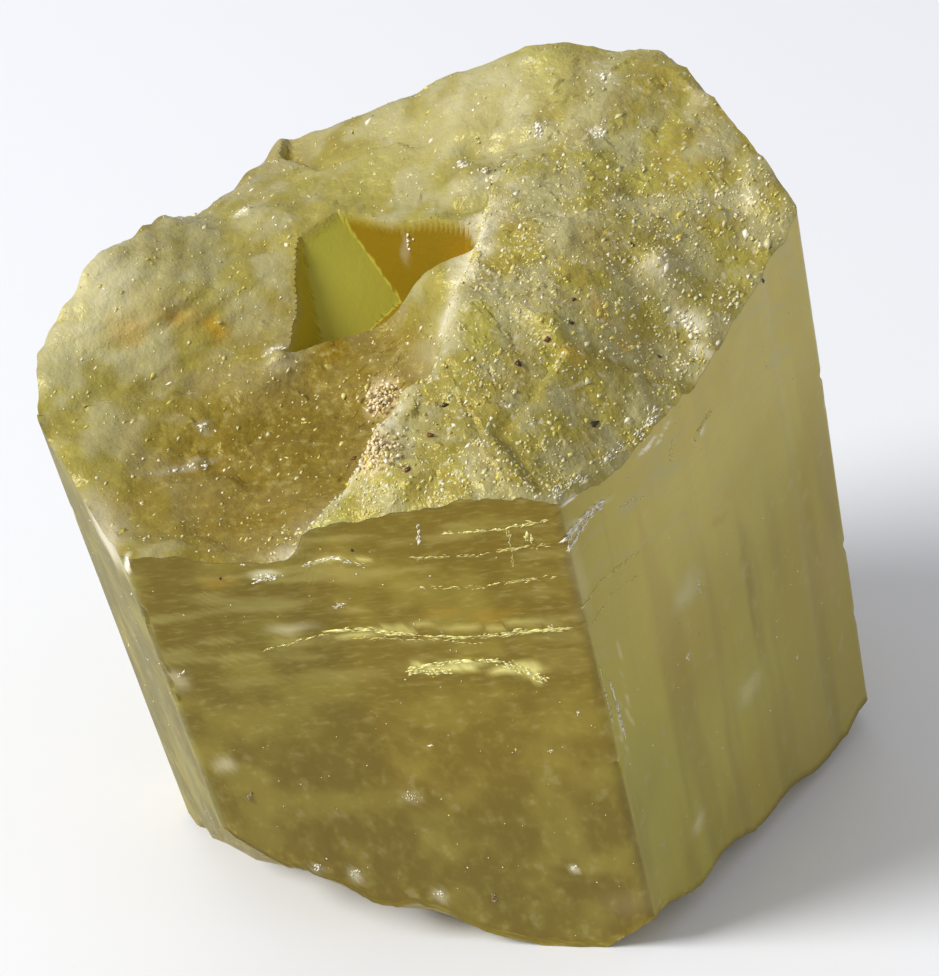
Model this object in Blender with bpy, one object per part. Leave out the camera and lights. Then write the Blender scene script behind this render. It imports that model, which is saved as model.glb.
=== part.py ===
"""A loose crystal of yellow-green apatite.

It is a short six-sided prism, broken across its top and standing on the slanting break at its foot.
Sizes are in millimetres in the crystal's own frame: u runs along the front, v away from it and w along
the axis of the prism, from the foot of the front right edge. The object stands on the plane z = 0.
"""

import math

import bmesh
import bpy
import numpy as np
from mathutils import Matrix, Vector

MM = 0.001

# How the prism stands on its slanting foot
LEAN_LEFT = math.radians(10.8)
LEAN_FORWARD = math.radians(10.3)
TURN_ABOUT_AXIS = math.radians(8.9)
FOOT_HEIGHT = 0.55
CENTRE_X = -4.50
CENTRE_Y = 7.75

# Corners of the prism, seen down its axis, anticlockwise (u, v)
FRONT_LEFT = (-10.80, 2.48)
FRONT_RIGHT = (0.75, -0.17)
RIGHT = (9.68, 9.44)
BACK_RIGHT = (7.50, 16.80)
BACK_LEFT = (-4.40, 19.40)
LEFT_BACK = (-12.35, 10.85)
LEFT_FRONT = (-12.62, 8.40)
CORNERS = (FRONT_LEFT, FRONT_RIGHT, RIGHT, BACK_RIGHT, BACK_LEFT, LEFT_BACK, LEFT_FRONT)

# Narrow worn strip along each upright edge, and the low growth steps that run up every face:
# where a step lies along its face, and how far the face lies back beyond it
EDGE_WEAR = 0.16
GROWTH_STEPS = ((0.23, 0.030), (0.46, 0.000), (0.81, 0.045))
STEP_RUN = 0.45

# Heights of the broken top over the plan (u, v, w): first round its rim, then inside it
RIM_HEIGHTS = (
    (-10.8, 2.4, 17.9),
    (-8.3, 1.9, 17.6),
    (-6.3, 1.4, 17.5),
    (-4.9, 1.1, 18.0),
    (-3.2, 0.7, 18.5),
    (-1.4, 0.3, 18.7),
    (0.8, -0.2, 18.3),
    (2.1, 1.2, 17.2),
    (3.4, 2.6, 16.7),
    (4.5, 3.9, 16.5),
    (5.6, 5.0, 16.5),
    (7.1, 6.7, 16.8),
    (8.8, 8.5, 17.4),
    (9.7, 9.4, 18.0),
    (9.3, 10.7, 18.6),
    (8.9, 11.8, 19.0),
    (8.4, 13.5, 19.2),
    (7.9, 15.4, 19.5),
    (6.7, 17.0, 19.4),
    (4.2, 17.6, 20.1),
    (1.9, 18.1, 19.7),
    (0.5, 18.4, 18.9),
    (-1.4, 18.8, 18.5),
    (-3.4, 19.2, 18.1),
    (-5.1, 18.7, 17.3),
    (-5.9, 17.8, 18.0),
    (-7.0, 16.6, 18.0),
    (-8.9, 14.6, 19.3),
    (-10.3, 13.0, 20.1),
    (-11.5, 11.7, 19.4),
    (-12.3, 10.9, 18.7),
    (-12.6, 8.4, 18.4),
    (-12.1, 6.6, 17.9),
    (-11.4, 4.4, 17.6),
)
INNER_HEIGHTS = (
    (0.4, 2.4, 19.0),
    (-2.6, 2.6, 18.9),
    (3.0, 5.0, 18.9),
    (1.3, 5.6, 19.5),
    (5.6, 7.9, 18.7),
    (3.2, 8.4, 19.8),
    (6.8, 11.4, 19.1),
    (3.9, 12.2, 19.6),
    (0.6, 8.6, 19.6),
    (1.4, 14.6, 19.2),
    (4.6, 15.0, 19.9),
    (-1.4, 15.6, 18.5),
    (-4.2, 15.4, 18.4),
    (-6.8, 13.2, 18.4),
    (-8.8, 11.4, 18.4),
    (-10.4, 9.2, 18.0),
    (-8.6, 8.2, 17.2),
    (-6.6, 6.2, 16.5),
    (-8.9, 5.2, 16.9),
    (-5.2, 4.6, 16.8),
    (-7.0, 3.6, 17.0),
    (-4.6, 7.4, 16.8),
    (-6.2, 9.8, 17.5),
    (-3.2, 7.6, 17.1),
)
HEIGHT_REACH = 1.15

# The scarp between the bowl on the left and the higher ground on the right, from the front backwards
SCARP = ((-6.4, 1.3), (-3.9, 2.9), (-2.7, 4.8), (-1.4, 6.6), (0.3, 8.7), (1.2, 11.2))
SCARP_RISE = 0.9
SCARP_WIDTH = 0.35
SCARP_REACH = 2.4

# Lumps of pale crust along the scarp and on the higher ground (u, v, radius, height)
LUMPS = (
    (-3.1, 5.7, 0.50, 0.60),
    (-3.6, 3.6, 0.60, 0.55),
    (-2.4, 4.6, 0.45, 0.35),
    (-1.1, 6.9, 0.40, 0.30),
    (5.4, 7.7, 0.55, 0.45),
    (1.0, 13.2, 0.60, 0.40),
    (-5.6, 9.3, 0.40, 0.35),
)

# The angular pit behind the bowl: each wall is a plane through a point, rising along a heading
PIT_WALLS = (
    # u, v, w of a point on the wall, heading in degrees, slope
    (-3.4, 12.2, 16.8, 118.0, 0.98),
    (-4.4, 11.9, 17.0, 160.0, 3.00),
    (-1.0, 12.0, 16.3, -20.0, 0.20),
    (-0.2, 11.4, 17.0, 0.0, 3.00),
    (-1.8, 10.4, 16.8, -80.0, 2.20),
    (-1.7, 12.3, 17.0, 46.0, 3.60),
)

# Broken facets that cover the top
FACET_SEED = 11
FACET_COUNT = 190
FACET_SPREAD_U = (-14.0, 11.0)
FACET_SPREAD_V = (-2.0, 21.0)
FACET_TILT = 0.10
FACET_STEP = 0.05
FACET_BLEND = 0.20
FACET_EDGE_CALM = 0.5

# Chip under the front left foot: where its edge meets the standing plane (x, y from the foot of the
# front right edge), and how it rises away from there
CHIP_EDGE_START = (-2.5, 0.2)
CHIP_EDGE_END = (-14.2, 6.9)
CHIP_SLOPE = 0.64
CHIP_CURVE = 0.055
# Undercut along the foot of the right face and of its far corner
UNDERCUT_START = (0.1, -0.6)
UNDERCUT_END = (8.3, 9.9)
UNDERCUT_INSET = 1.15
UNDERCUT_SLOPE = 0.95
CORNER_CHIP_START = (6.9, 7.4)
CORNER_CHIP_END = (7.4, 14.0)
CORNER_CHIP_SLOPE = 1.25
FOOT_ROUGHNESS = 0.16
# Two crossing waves that make the chipped foot uneven: radians per millimetre along x and y, and a shift
FOOT_WAVES = ((1.9, 0.7, 0.0), (-1.1, 2.7, 1.0))
# Where the foot isn't chipped, its surface stays this far under the standing plane
LEAST_FOOT = -1.0

# Fineness of the two broken surfaces
TOP_CELL = 0.42
FOOT_CELL = 0.62

# How far the unbroken prism runs, and how far the cutters reach past it
PRISM_BELOW = 8.0
PRISM_ABOVE = 26.0
CUTTER_TOP = 52.0
CUTTER_MARGIN = 1.5
FOOT_MARGIN = 3.5
FLOOR_SPREAD = 2.0
FLOOR_DEPTH = 16.0

CRYSTAL_COLOUR = (0.34, 0.29, 0.09, 1.0)
CRYSTAL_ROUGHNESS = 0.35
CRYSTAL_IOR = 1.63


def lean_matrix():
    """The turn that takes the crystal's own frame to the standing one."""
    axis = Vector((-math.tan(LEAN_LEFT), -math.tan(LEAN_FORWARD), 1.0)).normalized()
    tilt = Vector((0.0, 0.0, 1.0)).rotation_difference(axis).to_matrix()
    return tilt @ Matrix.Rotation(TURN_ABOUT_AXIS, 3, "Z")


def standing_place(point):
    """A point of the crystal's frame in metres in the standing frame, whose origin is under the middle."""
    x, y, z = lean_matrix() @ Vector(point)
    return Vector((x - CENTRE_X, y - CENTRE_Y, z + FOOT_HEIGHT)) * MM


def face_outline(start, end):
    """Points along one face, from its worn edge to the next, with the low growth steps between."""
    start, end = Vector(start), Vector(end)
    along = (end - start).normalized()
    inwards = Vector((-along.y, along.x))
    run = (end - start).length - 2.0 * EDGE_WEAR
    first = start + along * EDGE_WEAR
    points = [first]
    depth = 0.0
    for place, step_depth in GROWTH_STEPS:
        before = first + along * (run * place) + inwards * depth
        after = first + along * (run * place + STEP_RUN) + inwards * step_depth
        points += [before, after]
        depth = step_depth
    points.append(end - along * EDGE_WEAR)
    return points


def prism_mesh():
    """The tall unbroken prism, in the crystal's own frame."""
    outline = []
    for corner, following in zip(CORNERS, CORNERS[1:] + CORNERS[:1]):
        outline += face_outline(corner, following)
    mesh = bmesh.new()
    floor = [mesh.verts.new((p.x, p.y, -PRISM_BELOW)) for p in outline]
    face = mesh.faces.new(floor)
    raised = bmesh.ops.extrude_face_region(mesh, geom=[face])
    lifted = [item for item in raised["geom"] if isinstance(item, bmesh.types.BMVert)]
    bmesh.ops.translate(mesh, verts=lifted, vec=(0.0, 0.0, PRISM_BELOW + PRISM_ABOVE))
    bmesh.ops.recalc_face_normals(mesh, faces=mesh.faces)
    return mesh


def soft_step(value, width):
    """A step from 0 to 1 over twice the width, as whole arrays."""
    share = np.clip(value / (2.0 * width) + 0.5, 0.0, 1.0)
    return share * share * (3.0 - 2.0 * share)


def blended_height(u, v):
    """The weighted mean of the named heights, with weights that fall off with distance."""
    known = np.array(RIM_HEIGHTS + INNER_HEIGHTS)
    distance2 = (u[..., None] - known[:, 0]) ** 2 + (v[..., None] - known[:, 1]) ** 2
    nearest = distance2.min(axis=-1, keepdims=True)
    weight = np.exp(-(distance2 - nearest) / (2.0 * HEIGHT_REACH**2))
    return (weight * known[:, 2]).sum(axis=-1) / weight.sum(axis=-1)


def side_of_line(u, v, line):
    """Signed distance to a line of points: positive on the right of its way, with the nearest stretch."""
    best = np.full(u.shape, np.inf)
    signed = np.zeros(u.shape)
    for (u0, v0), (u1, v1) in zip(line, line[1:]):
        du, dv = u1 - u0, v1 - v0
        length2 = du * du + dv * dv
        share = np.clip(((u - u0) * du + (v - v0) * dv) / length2, 0.0, 1.0)
        away = np.hypot(u - u0 - share * du, v - v0 - share * dv)
        side = np.sign((u - u0) * dv - (v - v0) * du)
        closer = away < best
        best = np.where(closer, away, best)
        signed = np.where(closer, away * side, signed)
    return signed


def scarp_height(u, v):
    """A sharp rise across the scarp that fades out within its reach on both sides."""
    across = side_of_line(u, v, SCARP)
    fade = np.exp(-((across / SCARP_REACH) ** 2))
    return SCARP_RISE * fade * (soft_step(across, SCARP_WIDTH) - 0.5)


def lump_height(u, v):
    """Rounded lumps."""
    total = np.zeros(u.shape)
    for lump_u, lump_v, radius, height in LUMPS:
        total += height * np.exp(-((u - lump_u) ** 2 + (v - lump_v) ** 2) / radius**2)
    return total


def facet_height(u, v):
    """Tilted facets: each point takes the planes of the nearest facet centres, blended where they meet."""
    chance = np.random.default_rng(FACET_SEED)
    centre_u = chance.uniform(*FACET_SPREAD_U, FACET_COUNT)
    centre_v = chance.uniform(*FACET_SPREAD_V, FACET_COUNT)
    tilt_u = chance.normal(0.0, FACET_TILT, FACET_COUNT)
    tilt_v = chance.normal(0.0, FACET_TILT, FACET_COUNT)
    rise = chance.normal(0.0, FACET_STEP, FACET_COUNT)
    away_u, away_v = u[..., None] - centre_u, v[..., None] - centre_v
    distance2 = away_u**2 + away_v**2
    weight = np.exp((distance2.min(axis=-1, keepdims=True) - distance2) / FACET_BLEND**2)
    planes = rise + tilt_u * away_u + tilt_v * away_v
    return (weight * planes).sum(axis=-1) / weight.sum(axis=-1)


def pit_height(u, v):
    """The highest of the pit's planes at each point, so that they meet in sharp edges."""
    walls = []
    for wall_u, wall_v, wall_w, heading, slope in PIT_WALLS:
        turn = math.radians(heading)
        along = (u - wall_u) * math.cos(turn) + (v - wall_v) * math.sin(turn)
        walls.append(wall_w + slope * along)
    return np.max(walls, axis=0)


def rim_distance(u, v):
    """How far a point lies inside the nearest face of the prism."""
    inside = []
    for (u0, v0), (u1, v1) in zip(CORNERS, CORNERS[1:] + CORNERS[:1]):
        length = math.hypot(u1 - u0, v1 - v0)
        inside.append(((u1 - u0) * (v - v0) - (v1 - v0) * (u - u0)) / length)
    return np.min(inside, axis=0)


def top_height(u, v):
    """Height of the broken top."""
    calm = 1.0 - FACET_EDGE_CALM * np.exp(-np.clip(rim_distance(u, v), 0.0, None))
    rough = blended_height(u, v) + scarp_height(u, v) + lump_height(u, v) + calm * facet_height(u, v)
    return np.minimum(rough, pit_height(u, v))


def beyond_line(x, y, start, end, inset=0.0):
    """How far a point lies on the right of the line from start to end, moved left by the inset."""
    dx, dy = end[0] - start[0], end[1] - start[1]
    return ((x - start[0]) * dy - (y - start[1]) * dx) / math.hypot(dx, dy) + inset


def foot_height(x, y):
    """Height of the chipped foot over the standing plane; below the plane where it isn't chipped."""
    waves = [np.sin(along_x * x + along_y * y + shift) for along_x, along_y, shift in FOOT_WAVES]
    ripple = FOOT_ROUGHNESS * np.sum(waves, axis=0)
    left = -beyond_line(x, y, CHIP_EDGE_START, CHIP_EDGE_END)
    front_left = CHIP_SLOPE * left + CHIP_CURVE * np.clip(left, 0.0, None) ** 2
    right = UNDERCUT_SLOPE * beyond_line(x, y, UNDERCUT_START, UNDERCUT_END, UNDERCUT_INSET)
    corner = CORNER_CHIP_SLOPE * beyond_line(x, y, CORNER_CHIP_START, CORNER_CHIP_END)
    chipped = np.max([front_left, right, corner], axis=0)
    return np.maximum(chipped + ripple * np.clip(chipped, 0.0, 1.0), LEAST_FOOT)


def sheet_block(low, high, cell, height, far):
    """A closed block: one side follows a height over a rectangle, the other lies flat at far."""
    count_u = round((high[0] - low[0]) / cell)
    count_v = round((high[1] - low[1]) / cell)
    mesh = bmesh.new()
    bmesh.ops.create_grid(mesh, x_segments=count_u, y_segments=count_v, size=0.5)
    place = np.array([vert.co for vert in mesh.verts]) + 0.5
    u = low[0] + place[:, 0] * (high[0] - low[0])
    v = low[1] + place[:, 1] * (high[1] - low[1])
    sheet = list(mesh.verts)
    for vert, across, away, up in zip(sheet, u, v, height(u, v)):
        vert.co = (across, away, up)
    bmesh.ops.triangulate(mesh, faces=mesh.faces)
    moved = bmesh.ops.extrude_face_region(mesh, geom=list(mesh.faces), use_keep_orig=True)
    for item in moved["geom"]:
        if isinstance(item, bmesh.types.BMVert):
            item.co.z = far
    bmesh.ops.recalc_face_normals(mesh, faces=mesh.faces)
    return mesh


def add_object(name, mesh, place):
    """Puts a mesh into the scene, with each of its points taken through place first."""
    for vert in mesh.verts:
        vert.co = place(vert.co)
    data = bpy.data.meshes.new(name)
    mesh.to_mesh(data)
    mesh.free()
    added = bpy.data.objects.new(name, data)
    bpy.context.collection.objects.link(added)
    return added


def cut_with(target, cutter):
    """Takes the cutter's solid away from the target, and hides the cutter."""
    cutter.hide_render = True
    cutter.display_type = "WIRE"
    cut = target.modifiers.new("cut by " + cutter.name, "BOOLEAN")
    cut.operation = "DIFFERENCE"
    cut.solver = "EXACT"
    cut.object = cutter


def plain_place(point):
    """Takes millimetres over the standing plane, from the foot of the front right edge, to metres."""
    return Vector((point.x - CENTRE_X, point.y - CENTRE_Y, point.z)) * MM


def floor_block(low, high):
    """A plain block whose top is the standing plane."""
    mesh = bmesh.new()
    bmesh.ops.create_cube(mesh, size=1.0)
    for vert in mesh.verts:
        vert.co.x = low[0] if vert.co.x < 0.0 else high[0]
        vert.co.y = low[1] if vert.co.y < 0.0 else high[1]
        vert.co.z = -FLOOR_DEPTH if vert.co.z < 0.0 else 0.0
    return mesh


def crystal_material():
    """Plain translucent yellow-green."""
    material = bpy.data.materials.new("apatite")
    material.use_nodes = True
    shader = material.node_tree.nodes["Principled BSDF"]
    shader.inputs["Base Color"].default_value = CRYSTAL_COLOUR
    shader.inputs["Roughness"].default_value = CRYSTAL_ROUGHNESS
    shader.inputs["Metallic"].default_value = 0.0
    shader.inputs["IOR"].default_value = CRYSTAL_IOR
    return material


def build_crystal():
    """The prism, cut by its broken top, the standing plane and the chips under its foot."""
    crystal = add_object("crystal", prism_mesh(), standing_place)
    crystal.data.materials.append(crystal_material())
    plan = np.array(CORNERS)
    low = plan.min(axis=0) - CUTTER_MARGIN
    high = plan.max(axis=0) + CUTTER_MARGIN
    above = sheet_block(low, high, TOP_CELL, top_height, CUTTER_TOP)
    cut_with(crystal, add_object("broken_top", above, standing_place))
    floor = floor_block(low * FLOOR_SPREAD, high * FLOOR_SPREAD)
    cut_with(crystal, add_object("standing_plane", floor, plain_place))
    foot_low = plan.min(axis=0) - FOOT_MARGIN
    foot_high = plan.max(axis=0) + FOOT_MARGIN
    below = sheet_block(foot_low, foot_high, FOOT_CELL, foot_height, -PRISM_BELOW)
    cut_with(crystal, add_object("chipped_foot", below, plain_place))
    return crystal


def main():
    for item in list(bpy.data.objects):
        bpy.data.objects.remove(item, do_unlink=True)
    build_crystal()


main()
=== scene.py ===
"""Looks of a loose crystal of yellow-green apatite.

The stone is one closed surface with its breaks, facets and worn edges, in clear yellow-green stuff with
veils, layers, stains and cracks, and with painted shade, sheen and glints on it. Pale crumbs and dark
grains lie on it, and it stands on a plain pale floor.
Sizes are in millimetres in the crystal's own frame: u runs along the front, v away from it and w along
the axis of the prism, from the foot of the front right edge. The object stands on the plane z = 0.
"""

import math

import bpy
import numpy as np
from bpy.props import FloatProperty, FloatVectorProperty, IntProperty, PointerProperty
from mathutils import Matrix, Vector


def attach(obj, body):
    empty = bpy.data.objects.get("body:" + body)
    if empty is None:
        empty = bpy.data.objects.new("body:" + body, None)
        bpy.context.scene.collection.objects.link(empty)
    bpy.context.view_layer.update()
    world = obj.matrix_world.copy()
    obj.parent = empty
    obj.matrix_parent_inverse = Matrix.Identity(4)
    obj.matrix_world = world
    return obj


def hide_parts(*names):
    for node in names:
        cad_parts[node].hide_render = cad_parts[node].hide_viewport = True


bl_info = {
    "name": "Apatite crystal",
    "version": (1, 0, 0),
    "blender": (4, 5, 0),
    "location": "View3D > Sidebar > Crystal",
    "description": "Makes the surfaces, grains and stage of a loose apatite crystal",
    "category": "Add Mesh",
}

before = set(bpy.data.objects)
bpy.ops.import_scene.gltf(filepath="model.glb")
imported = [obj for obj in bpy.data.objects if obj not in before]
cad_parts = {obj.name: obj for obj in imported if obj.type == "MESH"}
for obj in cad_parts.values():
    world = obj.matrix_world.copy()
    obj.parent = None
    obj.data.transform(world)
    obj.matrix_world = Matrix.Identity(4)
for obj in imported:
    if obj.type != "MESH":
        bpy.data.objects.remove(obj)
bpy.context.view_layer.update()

MM = 0.001

# How the prism stands on its slanting foot
LEAN_LEFT = math.radians(10.8)
LEAN_FORWARD = math.radians(10.3)
TURN_ABOUT_AXIS = math.radians(8.9)
FOOT_HEIGHT = 0.55
CENTRE_X = -4.50
CENTRE_Y = 7.75

# Corners of the prism, seen down its axis, anticlockwise (u, v)
FRONT_LEFT = (-10.80, 2.48)
FRONT_RIGHT = (0.75, -0.17)
RIGHT = (9.68, 9.44)
BACK_RIGHT = (7.50, 16.80)
BACK_LEFT = (-4.40, 19.40)
LEFT_BACK = (-12.35, 10.85)
LEFT_FRONT = (-12.62, 8.40)
CORNERS = (FRONT_LEFT, FRONT_RIGHT, RIGHT, BACK_RIGHT, BACK_LEFT, LEFT_BACK, LEFT_FRONT)
FACES = ("front", "right", "right_back", "back", "left_back", "left", "strip")
SEEN_FACES = ("front", "right", "strip")
# The two corners that each face runs between, and the way it runs
SIDES = tuple(zip(CORNERS, CORNERS[1:] + CORNERS[:1]))
HEADINGS = tuple(math.atan2(v1 - v0, u1 - u0) for (u0, v0), (u1, v1) in SIDES)
FRONT_HEADING = HEADINGS[FACES.index("front")]
RIGHT_HEADING = HEADINGS[FACES.index("right")]

# Narrow worn strip along each upright edge, and the low growth steps that run up every face
EDGE_WEAR = 0.16
EDGE_ARC_STEPS = 3
EDGE_FULLNESS = 0.5
GROWTH_STEPS = ((0.23, 0.030), (0.46, 0.000), (0.81, 0.045))
STEP_RUN = 0.45

# Heights of the broken top over the plan (u, v, w): first round its rim, then inside it
RIM_HEIGHTS = (
    (-10.8, 2.4, 17.9),
    (-8.3, 1.9, 17.6),
    (-6.3, 1.4, 17.5),
    (-4.9, 1.1, 18.0),
    (-3.2, 0.7, 18.5),
    (-1.4, 0.3, 18.7),
    (0.8, -0.2, 18.3),
    (2.1, 1.2, 17.2),
    (3.4, 2.6, 16.7),
    (4.5, 3.9, 16.5),
    (5.6, 5.0, 16.5),
    (7.1, 6.7, 16.8),
    (8.8, 8.5, 17.4),
    (9.7, 9.4, 18.0),
    (9.3, 10.7, 18.6),
    (8.9, 11.8, 19.0),
    (8.4, 13.5, 19.2),
    (7.9, 15.4, 19.5),
    (6.7, 17.0, 19.4),
    (4.2, 17.6, 20.1),
    (1.9, 18.1, 19.7),
    (0.5, 18.4, 18.9),
    (-1.4, 18.8, 18.5),
    (-3.4, 19.2, 18.1),
    (-5.1, 18.7, 17.3),
    (-5.9, 17.8, 18.0),
    (-7.0, 16.6, 18.0),
    (-8.9, 14.6, 19.3),
    (-10.3, 13.0, 20.1),
    (-11.5, 11.7, 19.4),
    (-12.3, 10.9, 18.7),
    (-12.6, 8.4, 18.4),
    (-12.1, 6.6, 17.9),
    (-11.4, 4.4, 17.6),
)
INNER_HEIGHTS = (
    (0.4, 2.4, 19.0),
    (-2.6, 2.6, 18.9),
    (3.0, 5.0, 18.9),
    (1.3, 5.6, 19.5),
    (5.6, 7.9, 18.7),
    (3.2, 8.4, 19.8),
    (6.8, 11.4, 19.1),
    (3.9, 12.2, 19.6),
    (0.6, 8.6, 19.6),
    (1.4, 14.6, 19.2),
    (4.6, 15.0, 19.9),
    (-1.4, 15.6, 18.5),
    (-4.2, 15.4, 18.4),
    (-6.8, 13.2, 18.4),
    (-8.8, 11.4, 18.4),
    (-10.4, 9.2, 18.0),
    (-8.6, 8.2, 17.2),
    (-6.6, 6.2, 16.5),
    (-8.9, 5.2, 16.9),
    (-5.2, 4.6, 16.8),
    (-7.0, 3.6, 17.0),
    (-4.6, 7.4, 16.8),
    (-6.2, 9.8, 17.5),
    (-3.2, 7.6, 17.1),
)
HEIGHT_REACH = 1.15

# The scarp between the bowl on the left and the higher ground on the right, from the front backwards
SCARP = ((-6.4, 1.3), (-3.9, 2.9), (-2.7, 4.8), (-1.4, 6.6), (0.3, 8.7), (1.2, 11.2))
SCARP_RISE = 0.9
SCARP_WIDTH = 0.35
SCARP_REACH = 2.4

# Lumps of pale crust along the scarp and on the higher ground (u, v, radius, height)
LUMPS = (
    (-3.1, 5.7, 0.50, 0.60),
    (-3.6, 3.6, 0.60, 0.55),
    (-2.4, 4.6, 0.45, 0.35),
    (-1.1, 6.9, 0.40, 0.30),
    (5.4, 7.7, 0.55, 0.45),
    (1.0, 13.2, 0.60, 0.40),
    (-5.6, 9.3, 0.40, 0.35),
)

# The angular pit behind the bowl: each wall is a plane through a point, rising along a heading
PIT_WALLS = (
    # u, v, w of a point on the wall, heading in degrees, slope
    (-3.4, 12.2, 16.8, 118.0, 0.98),
    (-4.4, 11.9, 17.0, 160.0, 3.00),
    (-1.0, 12.0, 16.3, -20.0, 0.20),
    (-0.2, 11.4, 17.0, 0.0, 3.00),
    (-1.8, 10.4, 16.8, -80.0, 2.20),
    (-1.7, 12.3, 17.0, 46.0, 3.60),
)
# Which of them is the clean green facet, and which shut in the deep pocket, whose walls are painted brown for
# its shade
FACET_WALL = 0
POCKET_WALLS = (2, 3, 4, 5)

# Broken facets that cover the top
FACET_SEED = 11
FACET_COUNT = 190
FACET_SPREAD_U = (-14.0, 11.0)
FACET_SPREAD_V = (-2.0, 21.0)
FACET_TILT = 0.10
FACET_STEP = 0.05
FACET_BLEND = 0.62
FACET_EDGE_CALM = 0.5

# Chip under the front left foot, undercut along the foot of the right face and chip of its far corner
CHIP_EDGE_START = (-2.5, 0.2)
CHIP_EDGE_END = (-14.2, 6.9)
CHIP_SLOPE = 0.64
CHIP_CURVE = 0.055
UNDERCUT_START = (0.1, -0.6)
UNDERCUT_END = (8.3, 9.9)
UNDERCUT_INSET = 1.15
UNDERCUT_SLOPE = 0.95
CORNER_CHIP_START = (6.9, 7.4)
CORNER_CHIP_END = (7.4, 14.0)
CORNER_CHIP_SLOPE = 1.25
FOOT_ROUGHNESS = 0.16
# Two crossing waves that make the chipped foot uneven: radians per millimetre along x and y, and a shift
FOOT_WAVES = ((1.9, 0.7, 0.0), (-1.1, 2.7, 1.0))

# Fine relief of the breaks: small tilted cells (cell, tilt, rise, seed), fewer of them off the crusty ground
FINE_CELLS = (
    (0.70, 0.10, 0.020, 21),
    (0.34, 0.17, 0.014, 22),
)
CALM_SHARE = 0.60
CALM_FADE = 0.8
ROLLING_CELL = 1.3
ROLLING_HEIGHT = 0.10
ROLLING_SEED = 23
RIM_BREAK_REACH = 0.55
RIM_BREAK_DEPTH = 0.30
RIM_BREAK_CELL = 0.55
RIM_BREAK_SEED = 24
LAYER_STEP = 0.34
LAYER_SHARE = 0.55
# The layered steps lie left of this u and fade out round it
LAYERS_END = -5.0
LAYERS_FADE = 1.6
CELL_TABLE = 128
CLOUD_TABLE = 48
OCTAVE_SHIFT = 17.3

# Where rings close on the top and under the foot
TOP_MIDDLE = (-1.5, 9.5)
FOOT_MIDDLE = (-0.5, 8.0)
POLE_SHARE = 0.004
SOLVE_STEPS = 14
# Rows lie closer near the top, where the faces show layers and cracks
ROW_CROWDING = 1.45

# Fine relief of the prism faces, all of it inwards: (cell along, cell up, depth, seed)
FACE_RIPPLES = (
    (0.95, 6.0, 0.022, 31),
    (0.34, 9.0, 0.012, 32),
)
NICK_CELL = 0.55
NICK_START = 0.58
NICK_DEPTH = 0.55
NICK_REACH = 0.22
NICK_SEED = 33
SHARP_ANGLE = math.radians(24.0)

# How far the edges of colour blots wander, and over what length
WANDER_CELL = 0.5
WANDER_REACH = 0.40
WANDER_SEEDS = (42, 43, 44)

# Dark grains: where each lies on the top (u, v), and its size
TOP_GRAINS = (
    (2.32, 3.19, 0.26),
    (1.69, 5.12, 0.20),
    (0.74, 4.55, 0.22),
    (-1.45, 3.70, 0.19),
    (-1.60, 3.35, 0.12),
    (-2.03, 2.75, 0.22),
    (-2.78, 1.69, 0.21),
    (-4.23, 5.39, 0.17),
    (2.68, 6.44, 0.15),
    (2.46, 5.64, 0.15),
    (4.60, 5.58, 0.13),
    (4.73, 8.26, 0.12),
    (8.09, 7.69, 0.12),
)
# Grains set in the front face (u, v, w, size)
FRONT_GRAINS = (
    (-8.38, 2.13, 16.62, 0.34),
    (-8.60, 2.07, 16.72, 0.16),
    (-4.77, 1.12, 17.23, 0.10),
)

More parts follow.
